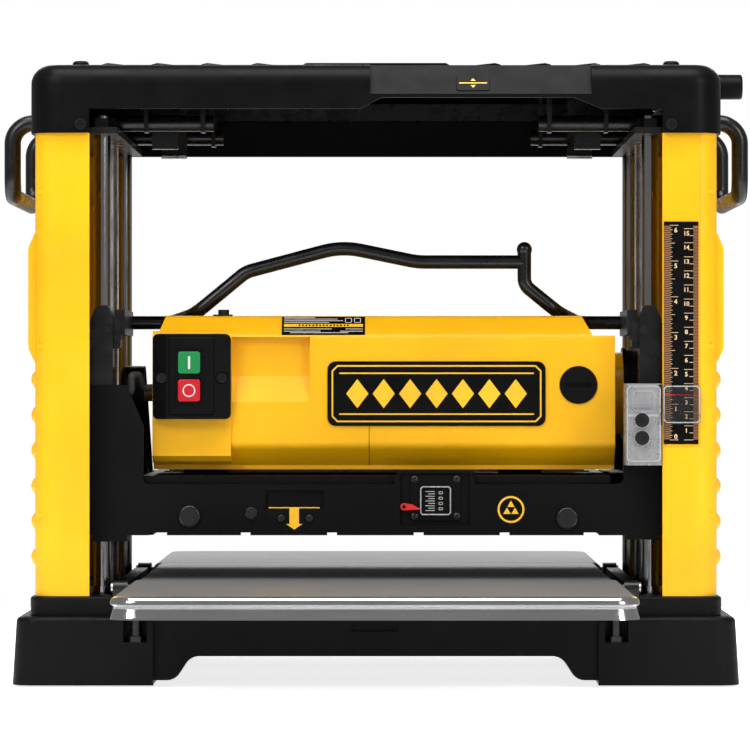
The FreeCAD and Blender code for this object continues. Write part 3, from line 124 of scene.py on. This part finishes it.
def powder_coat(name, colour, rough, **values):
    """Textured coat on a casting: orange peel over a slightly uneven surface."""
    s = Shader(name, **values)
    s.colour(s.noise(30, 5), tint(colour, 0.8), tint(colour, 1.3))
    s.roughness(s.noise(220, 3), rough - 0.08, rough + 0.1)
    s.bump(s.noise(520, 3), 0.12, 0.6)
    s.bump(s.noise(40, 2), 0.3, 0.2)
    return s.material


def painted(name, colour, rough):
    s = Shader(name, Specular_IOR_Level=0.4)
    s.colour(s.noise(50, 4), tint(colour, 0.85), tint(colour, 1.2))
    s.roughness(s.noise(90, 4), rough - 0.05, rough + 0.1)
    s.bump(s.noise(260, 2), 0.03, 0.5)
    return s.material


def brushed(name, colour, rough, along, fine=1400, metallic=1.0):
    """Bare metal whose grain runs along one axis, with a few longer scratches and handling marks."""
    s = Shader(name, Metallic=metallic)
    stretch = tuple(0.012 if axis == along else 1.0 for axis in "XYZ")
    lines = s.noise(fine, 3, stretch, 0.65)
    s.colour(s.noise(9, 5), tint(colour, 0.9), tint(colour, 1.05))
    s.roughness(lines, rough - 0.05, rough + 0.1)
    s.bump(lines, 0.006, 0.5)
    s.bump(s.noise(240, 2, stretch, 0.8), 0.01, 0.35)
    return s.material


def machined(name, colour, rough, scale=500, depth=0.012, **values):
    s = Shader(name, Metallic=1.0, **values)
    s.colour(s.noise(45, 6), tint(colour, 0.75), tint(colour, 1.15))
    s.roughness(s.noise(120, 4), rough - 0.08, rough + 0.14)
    s.bump(s.noise(scale, 4), depth, 0.6)
    return s.material


def rubber(name, colour, rough=0.75):
    s = Shader(name)
    s.colour(s.noise(80, 6), tint(colour, 0.8), tint(colour, 1.5))
    s.roughness(s.noise(150, 3), rough - 0.1, rough + 0.1)
    s.bump(s.noise(1100, 2), 0.05, 0.7)
    return s.material


def frosted(name, colour, clear):
    s = Shader(name, Transmission_Weight=clear, IOR=1.49)
    s.colour(s.noise(60, 4), tint(colour, 0.95), tint(colour, 1.1))
    s.roughness(s.noise(160, 5), 0.22, 0.36)
    return s.material


def clear_acrylic(name):
    s = Shader(name, Base_Color=(0.93, 0.95, 0.96, 1), Transmission_Weight=1.0, IOR=1.49)
    s.roughness(s.noise(160, 5), 0.03, 0.14)
    s.bump(s.noise(35, 3), 0.05, 0.2)
    return s.material


def laminated(name, colour):
    s = Shader(name, Metallic=0.7)
    s.colour(s.noise(70, 5), tint(colour, 0.6), tint(colour, 1.3))
    s.roughness(s.noise(120, 3), 0.4, 0.6)
    s.bump(s.noise(900, 1, (1, 0.01, 0.01)), 0.1, 0.8)
    return s.material


YELLOW = (0.87, 0.44, 0.004)
BLACK = (0.0025, 0.0025, 0.0027)
finishes = {
    "cast_black": powder_coat("cast_black", (0.0024, 0.0024, 0.0024), 0.45, Specular_IOR_Level=0.1),
    "black_steel": painted("black_steel", (0.004, 0.004, 0.0043), 0.26),
    "black_plastic": moulded("black_plastic", BLACK, 0.38, Specular_IOR_Level=0.1),
    "yellow_plastic": moulded("yellow_plastic", YELLOW, 0.34, Specular_IOR_Level=0.3),
    "polished_steel": brushed("polished_steel", (0.5, 0.5, 0.505), 0.12, "X"),
    "satin_steel": brushed("satin_steel", (0.2, 0.2, 0.203), 0.45, "X", metallic=0.35),
    "chrome_rod": brushed("chrome_rod", (0.3, 0.3, 0.31), 0.12, "Z"),
    "steel": machined("steel", (0.42, 0.42, 0.43), 0.34),
    "zinc": machined("zinc", (0.6, 0.6, 0.57), 0.3, 300),
    "bronze": machined("bronze", (0.6, 0.36, 0.14), 0.4, 900, 0.03),
    "motor_iron": laminated("motor_iron", (0.2, 0.17, 0.15)),
    "black_rubber": rubber("black_rubber", (0.02, 0.02, 0.02)),
    "roller_rubber": rubber("roller_rubber", (0.035, 0.033, 0.03)),
    "green_plastic": moulded("green_plastic", (0.01, 0.2, 0.055), 0.3, Specular_IOR_Level=0.3),
    "red_plastic": moulded("red_plastic", (0.5, 0.01, 0.018), 0.3, Specular_IOR_Level=0.3),
    "red_needle": painted("red_needle", (0.6, 0.012, 0.012), 0.35),
    "clear_plastic": clear_acrylic("clear_plastic"),
    "scale_black": moulded("scale_black", (0.0025, 0.0025, 0.0025), 0.3, Specular_IOR_Level=0.1),
    "label_black": moulded("label_black", (0.0025, 0.0025, 0.0025), 0.3, Specular_IOR_Level=0.1),
    "copper_ink": moulded("copper_ink", (0.26, 0.11, 0.045), 0.4),
    "cream_ink": moulded("cream_ink", (0.8, 0.55, 0.3), 0.4),
    "yellow_ink": moulded("yellow_ink", (0.92, 0.5, 0.012), 0.36),
    "grey_ink": moulded("grey_ink", (0.6, 0.6, 0.58), 0.4),
    "frosted_edge": frosted("frosted_edge", (0.6, 0.62, 0.63), 0.4),
    "frosted_grey": frosted("frosted_grey", (0.4, 0.4, 0.41), 0.45),
}


def dress_nodes():
    for entry in frame["record"]["subparts"]:
        mesh = nodes[entry["node"]].data
        mesh.materials.clear()
        mesh.materials.append(finishes[entry["material_slot"]])


def dress_faces(node, finish, wanted):
    """Gives a second finish to the faces of a node whose middle, in millimetres, is wanted."""
    mesh = nodes[node].data
    mesh.materials.append(finishes[finish])
    for face in mesh.polygons:
        if wanted(face.center / MM):
            face.material_index = len(mesh.materials) - 1


dress_nodes()
dress_faces("handle_brackets", "zinc", lambda c: c.z < 390 and abs(c.x) > 144 and abs(c.x) < 165)
dress_faces("depth_pointer", "frosted_grey", lambda c: c.x < 202.9)
for sheet in ("infeed_table", "outfeed_table", "bed_platen"):
    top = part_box(sheet)[1][2] / MM
    dress_faces(sheet, "satin_steel", lambda c: c.z > top - 0.3)


# --- Small details --------------------------------------------------------------------------------

# The directions along, up and out of a surface, for each way it may face.
FACING = {
    "front": ((1, 0, 0), (0, 0, 1), (0, -1, 0)),
    "back": ((-1, 0, 0), (0, 0, 1), (0, 1, 0)),
    "right": ((0, 1, 0), (0, 0, 1), (1, 0, 0)),
    "left": ((0, -1, 0), (0, 0, 1), (-1, 0, 0)),
    "top": ((1, 0, 0), (0, 1, 0), (0, 0, 1)),
    "under": ((1, 0, 0), (0, -1, 0), (0, 0, -1)),
}


class Detail:
    """One piece on a surface, in millimetres: along it, up it, and out of it from the given place."""

    def __init__(self, place, facing):
        axes = FACING[facing] if isinstance(facing, str) else facing
        turn = Matrix([[axis[row] for axis in axes] for row in range(3)]).to_4x4()
        self.to_world = Matrix.Scale(MM, 4) @ Matrix.Translation(place) @ turn
        self.mesh = bmesh.new()

    def poly(self, outline, low, high, bevel=0.0):
        """An outline pushed out from low to high, with its outer edge drawn in by the bevel."""
        centre = Vector((sum(p[0] for p in outline), sum(p[1] for p in outline))) / len(outline)
        rings = [[(u, v, low) for u, v in outline], [(u, v, high - bevel) for u, v in outline]]
        if bevel:
            inner = []
            for u, v in outline:
                inward = (centre - Vector((u, v))).normalized() * bevel
                inner.append((u + inward.x, v + inward.y, high))
            rings.append(inner)
        rows = [[self.mesh.verts.new(p) for p in ring] for ring in rings]
        for a, b in zip(rows, rows[1:]):
            for k in range(len(outline)):
                m = (k + 1) % len(outline)
                self.mesh.faces.new((a[k], a[m], b[m], b[k]))
        self.mesh.faces.new(rows[0][::-1])
        self.mesh.faces.new(rows[-1])
        return self

    def bar(self, u0, u1, v0, v1, low, high, bevel=0.0):
        return self.poly([(u0, v0), (u1, v0), (u1, v1), (u0, v1)], low, high, bevel)

    def disc(self, u, v, radius, low, high, bevel=0.0, sides=32):
        turns = [2 * math.pi * k / sides for k in range(sides)]
        outline = [(u + radius * math.cos(a), v + radius * math.sin(a)) for a in turns]
        return self.poly(outline, low, high, bevel)

    def frame(self, u0, u1, v0, v1, line, low, high, corner=2.0):
        """A line of even width round a rectangle with cut corners."""
        def ring(inset):
            a, b, c, d = u0 + inset, u1 - inset, v0 + inset, v1 - inset
            k = max(corner - inset * 0.6, 0.2)
            return [(a + k, c), (b - k, c), (b, c + k), (b, d - k), (b - k, d), (a + k, d), (a, d - k), (a, c + k)]
        return self.between(ring(0), ring(line), low, high)

    def between(self, outer, inner, low, high):
        """The solid between two outlines with the same number of corners."""
        rows = [[self.mesh.verts.new((*p, level)) for p in ring]
                for ring, level in ((outer, low), (outer, high), (inner, high), (inner, low))]
        for a, b in zip(rows, rows[1:] + rows[:1]):
            for k in range(len(outer)):
                m = (k + 1) % len(outer)
                self.mesh.faces.new((a[k], a[m], b[m], b[k]))
        return self

    def ring(self, u, v, outer, inner, low, high, sides=40):
        turns = [2 * math.pi * k / sides for k in range(sides)]
        circles = [[(u + r * math.cos(a), v + r * math.sin(a)) for a in turns] for r in (outer, inner)]
        return self.between(*circles, low, high)

    def lathe(self, u, v, profile, sides=40):
        """A profile of (radius, height) pairs turned about the line out of the surface at (u, v)."""
        rows = []
        for radius, height in profile:
            rows.append([self.mesh.verts.new((u + radius * math.cos(2 * math.pi * k / sides),
                                              v + radius * math.sin(2 * math.pi * k / sides), height))
                         for k in range(sides)])
        for a, b in zip(rows, rows[1:]):
            for k in range(sides):
                m = (k + 1) % sides
                self.mesh.faces.new((a[k], a[m], b[m], b[k]))
        self.mesh.faces.new(rows[0][::-1])
        self.mesh.faces.new(rows[-1])
        return self

    def text(self, words, u, v, size, low, high):
        """Lettering of the given height, centred on (u, v)."""
        font = bpy.data.curves.new("letters", "FONT")
        font.body = words
        font.size = size / 0.7
        font.align_x, font.align_y = "CENTER", "CENTER"
        font.extrude = (high - low) / 2
        font.offset = size * 0.03
        font.resolution_u = 3
        holder = bpy.data.objects.new("letters", font)
        flat = bpy.data.meshes.new_from_object(holder)
        flat.transform(Matrix.Translation((u, v, (low + high) / 2)))
        self.mesh.from_mesh(flat)
        bpy.data.objects.remove(holder)
        bpy.data.meshes.remove(flat)
        return self

    def tube(self, points, radius, sides=12, closed=False):
        """A round wire through points given as (along, up, out)."""
        points = [Vector(p) for p in points]
        count = len(points)
        rows = []
        side = None
        for k, point in enumerate(points):
            before = points[(k - 1) % count] if closed else points[max(k - 1, 0)]
            after = points[(k + 1) % count] if closed else points[min(k + 1, count - 1)]
            along = (after - before).normalized()
            if side is None:
                side = along.orthogonal().normalized()
            side = (side - along * side.dot(along)).normalized()
            other = along.cross(side)
            rows.append([self.mesh.verts.new(point + radius * (side * math.cos(2 * math.pi * j / sides)
                                                               + other * math.sin(2 * math.pi * j / sides)))
                         for j in range(sides)])
        pairs = zip(rows, rows[1:] + rows[:1]) if closed else zip(rows, rows[1:])
        for a, b in pairs:
            for j in range(sides):
                m = (j + 1) % sides
                self.mesh.faces.new((a[j], a[m], b[m], b[j]))
        if not closed:
            self.mesh.faces.new(rows[0][::-1])
            self.mesh.faces.new(rows[-1])
        return self

    def done(self, name, body, finish, smooth=True):
        """Turns what was gathered into a piece that rides on a body."""
        bmesh.ops.recalc_face_normals(self.mesh, faces=self.mesh.faces)
        self.mesh.transform(self.to_world)
        mesh = bpy.data.meshes.new(name)
        self.mesh.to_mesh(mesh)
        self.mesh.free()
        mesh.materials.append(finishes[finish])
        made = bpy.data.objects.new(name, mesh)
        bpy.context.scene.collection.objects.link(made)
        if smooth:
            mesh.shade_smooth()
            mesh.set_sharp_from_angle(angle=math.radians(35))
        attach(made, body)
        return made


def depth_scale_marks():
    """Inches up the left of the scale plate and centimetres up the right, over two copper bands."""
    zero, left, right = 175.0, 204.5, 229.0
    bands = Detail((0, -173.5, zero), "front")
    bands.bar(left, left + 4.2, 0, 152, 0.0, 0.08)
    bands.bar(right - 3.6, right, 0, 152, 0.0, 0.08)
    bands.done("scale_bands", "frame", "copper_ink")

    dark = Detail((0, -173.5, zero), "front")
    for sixteenth in range(0, 96):
        dark.bar(left, left + 4.2, sixteenth * 25.4 / 16, sixteenth * 25.4 / 16 + 0.5, 0.08, 0.14)
    for millimetre in range(0, 151):
        dark.bar(right - 3.6, right, millimetre, millimetre + 0.35, 0.08, 0.14)
    dark.done("scale_band_ticks", "frame", "scale_black", smooth=False)

    pale = Detail((0, -173.5, zero), "front")
    for eighth in range(0, 49):
        reach = 6.0 if eighth % 8 == 0 else 3.6 if eighth % 4 == 0 else 1.8
        height = eighth * 25.4 / 8
        pale.bar(left + 4.2, left + 4.2 + reach, height - 0.16, height + 0.16, 0.0, 0.12)
        if eighth < 48:
            pale.bar(left + 4.2, left + 5.2, height + 1.45, height + 1.7, 0.0, 0.12)
    for half in range(0, 31):
        reach = 6.6 if half % 2 == 0 else 2.8
        pale.bar(right - 3.6 - reach, right - 3.6, half * 5 - 0.16, half * 5 + 0.16, 0.0, 0.12)
    for inch in range(0, 7):
        pale.text(str(inch), left + 8.4, inch * 25.4 - 3.6 if inch else 2.2, 3.2, 0.0, 0.12)
    for centimetre in range(1, 16):
        pale.text(str(centimetre), right - 8.6, centimetre * 10 - 3.5, 3.0, 0.0, 0.12)
    pale.done("scale_marks", "frame", "cream_ink", smooth=False)


def pointer_line():
    """The red reading line across the clear pointer, and the rims moulded on its box."""
    line = Detail((0, -177.1, 207), "front")
    line.bar(203, 212, -0.3, 0.3, 0.0, 0.25).bar(203, 229.5, -0.12, 0.12, 0.0, 0.2)
    line.done("pointer_line", "carriage", "red_needle", smooth=False)
    rims = Detail((190, -177.0, 186), "front")
    rims.frame(-12, 12, -26.5, 27.5, 0.9, 0.0, 0.5).bar(-11, 11, 5.6, 7.2, 0.0, 0.4)
    rims.ring(-1.2, 3, 5.9, 5.2, 0.0, 0.35).ring(-1.2, -9.6, 5.9, 5.2, 0.0, 0.35)
    rims.frame(-8, 8, 9, 24, 0.6, 0.0, 0.35).frame(14, 40, 1, 27.5, 0.8, 0.0, 0.4)
    rims.done("pointer_rims", "carriage", "frosted_edge", smooth=False)


def front_plate():
    """A plain ornament in place of lettering: a yellow line round the plate and a row of blocks."""
    plate = Detail((43.5, -129.2, 207.75), "front")
    plate.frame(-75.5, 75.5, -20.5, 20.5, 1.1, 0.0, 0.2, 4.0)
    for number in range(-3, 4):
        middle = number * 19.0
        plate.poly([(middle - 8, 0), (middle, -10.5), (middle + 8, 0), (middle, 10.5)], 0.0, 0.25, 0.08)
    plate.bar(-70, 70, -15.2, -14.2, 0.0, 0.2).bar(-70, 70, 14.2, 15.2, 0.0, 0.2)
    plate.done("plate_ornament", "carriage", "yellow_ink", smooth=False)


def rating_plate():
    """Plain bars on the sloping plate, with one yellow strip across its middle."""
    axes = ((1, 0, 0), (0, 0.7296, 0.684), (0, -0.684, 0.7296))
    place = (-38, -127.32, 250.46)
    strip = Detail(place, axes)
    strip.bar(-28.5, 28.5, 8.0, 11.0, 0.0, 0.12, 0.02)
    strip.done("rating_strip", "carriage", "yellow_ink", smooth=False)
    bars = Detail(place, axes)
    rows = [(1.4, -24, 18), (3.0, -28.5, -2), (3.0, 12, 28.5), (5.4, -28.5, 6), (5.4, 16, 28.5),
            (12.4, -28.5, 4), (14.2, -28.5, 14), (16.0, -28.5, 10), (17.4, -28.5, -6)]
    for height, start, end in rows:
        bars.bar(start, end, height, height + 0.6, 0.0, 0.1)
    for middle in (18.0, 24.5):
        bars.frame(middle - 2.4, middle + 2.4, 12.4, 17.4, 0.45, 0.0, 0.1, 0.6)
    bars.done("rating_bars", "carriage", "grey_ink", smooth=False)
    blocks = Detail(place, axes)
    for number in range(15):
        blocks.bar(-18 + number * 2.5, -16.6 + number * 2.5, 8.7, 10.3, 0.1, 0.18)
    blocks.done("rating_blocks", "carriage", "label_black", smooth=False)


def apron_marks():
    """The arrow and the small emblem, with its dark ground, on the apron."""
    arrow = Detail((-58.5, -150, 0), "front")
    arrow.bar(-18.3, 18.3, 125.9, 126.6, 0.0, 0.15)
    arrow.poly([(-3.4, 125.9), (-3.4, 114.6), (-5.8, 114.6), (0, 110.6), (5.8, 114.6), (3.4, 114.6), (3.4, 125.9)],
               0.0, 0.15)
    arrow.done("apron_arrow", "carriage", "yellow_ink", smooth=False)
    emblem = Detail((96.5, -150, 125), "front")
    emblem.ring(0, 0, 9.6, 8.2, 0.15, 0.35)
    for turn in range(3):
        a = math.radians(90 + 120 * turn)
        ahead, beside = Vector((math.cos(a), math.sin(a))), Vector((-math.sin(a), math.cos(a)))
        outline = [ahead * 6.4, ahead * 1.8 + beside * 2.6, ahead * 1.8 - beside * 2.6]
        emblem.poly([tuple(p) for p in outline], 0.15, 0.35)
    emblem.done("apron_emblem", "carriage", "yellow_ink", smooth=False)
    back = Detail((96.5, -150, 125), "front")
    back.poly([(-10, -11), (10, -11), (11, -10), (11, 10), (10, 11), (-10, 11), (-11, 10), (-11, -10)], 0, 0.15, 0.05)
    back.done("apron_emblem_ground", "carriage", "label_black", smooth=False)


def removal_gauge():
    """Tick lines and a frosted lens rim over the gauge plate, and its corner screws."""
    ticks = Detail((42.6, -149, 131), "front")
    for number in range(9):
        reach = 6.2 if number % 2 == 0 else 4.2
        ticks.bar(-reach - 1, -0.6, -7 + number * 1.7, -6.6 + number * 1.7, 0.0, 0.1)
    for number in range(4):
        ticks.frame(2.2, 5.2, -6.5 + number * 3.8, -4.6 + number * 3.8, 0.35, 0.0, 0.1, 0.5)
    ticks.done("gauge_ticks", "carriage", "grey_ink", smooth=False)
    lens = Detail((42.6, -149.2, 131), "front")
    lens.frame(-11, 11, -10, 10.6, 0.8, 0.6, 1.5, 1.5)
    lens.done("gauge_lens_rim", "carriage", "frosted_edge", smooth=False)
    for number, (x, z) in enumerate(((27.5, 120), (57.7, 120), (27.5, 146.5), (57.7, 146.5))):
        head = Detail((x, -149.4, z), "front")
        head.lathe(0, 0, [(2.5, -0.2), (2.5, 0.5), (2.0, 0.9), (1.1, 1.0), (1.0, 0.3)], 24)
        head.done(f"gauge_screw_{number + 1}", "carriage", "black_steel")


def key_marks():
    """A bar on the start key and a ring on the stop key."""
    start = Detail((-134, 0, 230), "front")
    face = 0.4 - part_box("start_button")[0][1] / MM
    start.poly([(-0.8, -4.6), (0.8, -4.6), (0.8, 4.6), (-0.8, 4.6)], face - 0.4, face - 0.2, 0.05)
    start.done("start_bar", "start_button", "grey_ink", smooth=False)
    stop = Detail((-134, 0, 210), "front")
    face = 0.4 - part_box("stop_button")[0][1] / MM
    stop.ring(0, 0, 4.6, 3.7, face - 0.4, face - 0.2)
    stop.done("stop_ring", "stop_button", "grey_ink", smooth=False)


def cover_plaque():
    """The raised plaque on the leaning front of the cover, with a crank sign of plain lines."""
    axes = ((1, 0, 0), (0, 0.6247, 0.7809), (0, -0.7809, 0.6247))
    place = (69, -172, 428)
    plaque = Detail(place, axes)
    plaque.poly([(-12, -6), (-11, -7), (11, -7), (12, -6), (12, 6), (11, 7), (-11, 7), (-12, 6)], -0.2, 0.7, 0.4)
    plaque.done("cover_plaque", "frame", "black_plastic")
    sign = Detail(place, axes)
    sign.bar(-10, 10, -0.45, 0.45, 0.7, 0.85)
    sign.poly([(-1.8, 2.0), (1.8, 2.0), (0, 4.4)], 0.7, 0.85).poly([(-1.8, -2.0), (0, -4.4), (1.8, -2.0)], 0.7, 0.85)
    sign.done("cover_sign", "frame", "yellow_ink", smooth=False)


def screw_thread(name, body, x, start, end):
    """A ridge that winds up a lifting screw."""
    pitch, radius, steps = 1.6, 7.0, 20
    turns = (end - start) / pitch
    thread = Detail((x, 0, 0), "top")
    rows = []
    for k in range(int(turns * steps) + 1):
        a = 2 * math.pi * k / steps
        z = start + pitch * k / steps
        rows.append([thread.mesh.verts.new((r * math.cos(a), r * math.sin(a), z + rise))
                     for r, rise in ((radius - 0.1, -0.5), (radius + 0.35, 0), (radius - 0.1, 0.5))])
    for a, b in zip(rows, rows[1:]):
        thread.mesh.faces.new((a[0], a[1], b[1], b[0]))
        thread.mesh.faces.new((a[1], a[2], b[2], b[1]))
    thread.done(name, body, "steel")


def chain(name, body, links):
    """Roller chain links around a loop of (centre, along, outward) in millimetres, pins along the third axis."""
    made = Detail((0, 0, 0), "top")
    for number, (centre, along, across) in enumerate(links):
        width = 2.2 if number % 2 else 1.6
        for side in (-1, 1):
            middle = centre + across * side * width
            ring = [middle + along * (4.4 * math.cos(t)) + along.cross(across) * (2.3 * math.sin(t))
                    for t in [2 * math.pi * k / 12 for k in range(12)]]
            faces = [[made.mesh.verts.new(p + across * side * rise) for p in ring] for rise in (0, 0.7)]
            made.mesh.faces.new(faces[0])
            made.mesh.faces.new(faces[1][::-1])
            for k in range(12):
                m = (k + 1) % 12
                made.mesh.faces.new((faces[0][k], faces[0][m], faces[1][m], faces[1][k]))
        pin = [centre - along * 3.2 - across * 3.1, centre - along * 3.2 + across * 3.1]
        made.tube([tuple(p) for p in pin], 1.7, 10)
    return made.done(name, body, "steel")


def loop_links(first, second, radius, flat, across, pitch=6.4):
    """Evenly spaced link places round two equal sprockets at first and second."""
    flat, across = Vector(flat), Vector(across)
    first, second = Vector(first), Vector(second)
    out = flat.cross(across)
    run = (second - first).length
    half = math.pi * radius
    total = 2 * run + 2 * half
    count = int(total / pitch / 2) * 2
    places = []
    for number in range(count):
        at = total * number / count
        if at < run:
            places.append((first + flat * at + out * radius, flat, across))
        elif at < run + half:
            turn = (at - run) / radius
            places.append((second + (out * math.cos(turn) + flat * math.sin(turn)) * radius,
                           flat * math.cos(turn) - out * math.sin(turn), across))
        elif at < 2 * run + half:
            places.append((second - flat * (at - run - half) - out * radius, -flat, across))
        else:
            turn = (at - 2 * run - half) / radius
            places.append((first - (out * math.cos(turn) + flat * math.sin(turn)) * radius,
                           out * math.sin(turn) - flat * math.cos(turn), across))
    return places


def chains():
    """Both chains as links, in place of the plain bands."""
    low, high = [Vector(corner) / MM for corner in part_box("elevation_chain")]
    radius = (high.y - low.y) / 2 - 2.4
    middle = (low + high) / 2
    ends = (low.x + radius + 2.4, middle.y, middle.z), (high.x - radius - 2.4, middle.y, middle.z)
    lifting = chain("elevation_links", "frame", loop_links(*ends, radius, (1, 0, 0), (0, 0, 1)))
    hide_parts("elevation_chain")
    low, high = [Vector(corner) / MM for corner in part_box("feed_chain")]
    radius = (high.z - low.z) / 2 - 2.4
    middle = (low + high) / 2
    ends = (middle.x, low.y + radius + 2.4, middle.z), (middle.x, high.y - radius - 2.4, middle.z)
    feeding = chain("feed_links", "carriage", loop_links(*ends, radius, (0, 1, 0), (1, 0, 0)))
    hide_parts("feed_chain")


def housing_seam():
    """The line where the two halves of the motor housing meet, on the front of the housing."""
    seam = Detail((-5, -128, 0), "front")
    seam.bar(-0.22, 0.22, 170, 185.5, -0.2, 0.05)
    seam.done("housing_seam", "carriage", "label_black", smooth=False)
    slope = Detail((-5, -112, 156), ((1, 0, 0), (0, -0.7526, 0.6585), (0, -0.6585, -0.7526)))
    slope.bar(-0.22, 0.22, 0, 21.2, -0.2, 0.05)
    slope.done("housing_seam_low", "carriage", "label_black", smooth=False)


def apron_fixings():
    """The slotted screw and the two domed plugs on the apron."""
    screw = Detail((-89.3, -150, 122.2), "front")
    screw.lathe(0, 0, [(3.4, -0.2), (3.4, 0.7), (2.8, 1.2), (1.6, 1.3), (1.5, 0.5)], 28)
    screw.done("apron_screw", "carriage", "zinc")
    for name, x, z in (("apron_plug_left", -133.4, 120), ("apron_plug_right", 136.6, 118.6)):
        plug = Detail((x, -150, z), "front")
        plug.lathe(0, 0, [(5.2, -0.2), (5.2, 0.5), (4.2, 1.2), (2.0, 1.7), (0.3, 1.8)], 32)
        plug.done(name, "carriage", "black_plastic")


depth_scale_marks()
pointer_line()
front_plate()
rating_plate()
apron_marks()
removal_gauge()
key_marks()
cover_plaque()
apron_fixings()
housing_seam()
chains()
screw_thread("thread_right", "right_screw", 200, 74, 392)
screw_thread("thread_left", "left_screw", -200, 74, 392)


# --- Floor, light and camera --------------------------------------------------------------------

def add_floor():
    bpy.ops.mesh.primitive_circle_add(vertices=128, radius=1.35, fill_type="NGON", location=(0, -0.3, 0))
    floor = bpy.context.object
    floor.name = "floor"
    s = Shader("floor_paint", Emission_Color=(1, 1, 1, 1), Emission_Strength=0.8)
    s.colour(s.noise(2, 3), (0.93, 0.93, 0.93), (0.95, 0.95, 0.95))
    s.roughness(s.noise(20, 3), 0.5, 0.6)
    floor.data.materials.append(s.material)


def add_light(name, place, aim, size, power):
    data = bpy.data.lights.new(name, "AREA")
    data.shape = "RECTANGLE"
    data.size, data.size_y = size
    data.energy = power
    lamp = bpy.data.objects.new(name, data)
    bpy.context.scene.collection.objects.link(lamp)
    lamp.location = place
    lamp.rotation_euler = (Vector(aim) - Vector(place)).to_track_quat("-Z", "Y").to_euler()


def add_studio():
    world = bpy.data.worlds.new("studio")
    bpy.context.scene.world = world
    world.use_nodes = True
    tree = world.node_tree
    seen = tree.nodes["Background"]
    seen.inputs["Color"].default_value = (1, 1, 1, 1)
    lighting = tree.nodes.new("ShaderNodeBackground")
    lighting.inputs["Color"].default_value = (1, 1, 1, 1)
    lighting.inputs["Strength"].default_value = 0.3
    choice = tree.nodes.new("ShaderNodeMixShader")
    tree.links.new(tree.nodes.new("ShaderNodeLightPath").outputs["Is Camera Ray"], choice.inputs["Fac"])
    tree.links.new(lighting.outputs[0], choice.inputs[1])
    tree.links.new(seen.outputs[0], choice.inputs[2])
    tree.links.new(choice.outputs[0], tree.nodes["World Output"].inputs["Surface"])
    add_light("key", (-1.5, -2.4, 1.9), (0, 0, 0.25), (1.2, 1.2), 38)
    add_light("fill", (1.9, -2.4, 1.3), (0, 0, 0.25), (1.0, 1.4), 26)
    add_light("top", (0, -0.7, 2.2), (0, 0, 0.2), (2.0, 1.4), 52)
    add_light("rear", (0, 2.6, 1.2), (0, 0, 0.2), (2.4, 0.8), 20)


def add_camera():
    data = bpy.data.cameras.new("camera")
    camera = bpy.data.objects.new("camera", data)
    bpy.context.scene.collection.objects.link(camera)
    camera.location = (0.010, -3.4735, 0.214)
    camera.rotation_euler = (math.radians(90), 0, 0)
    data.sensor_width = 36
    data.lens = 223.1
    data.shift_x = -0.02
    data.shift_y = 0.0133
    bpy.context.scene.camera = camera
    bpy.context.scene.view_settings.view_transform = "Standard"


add_floor()
add_studio()
add_camera()
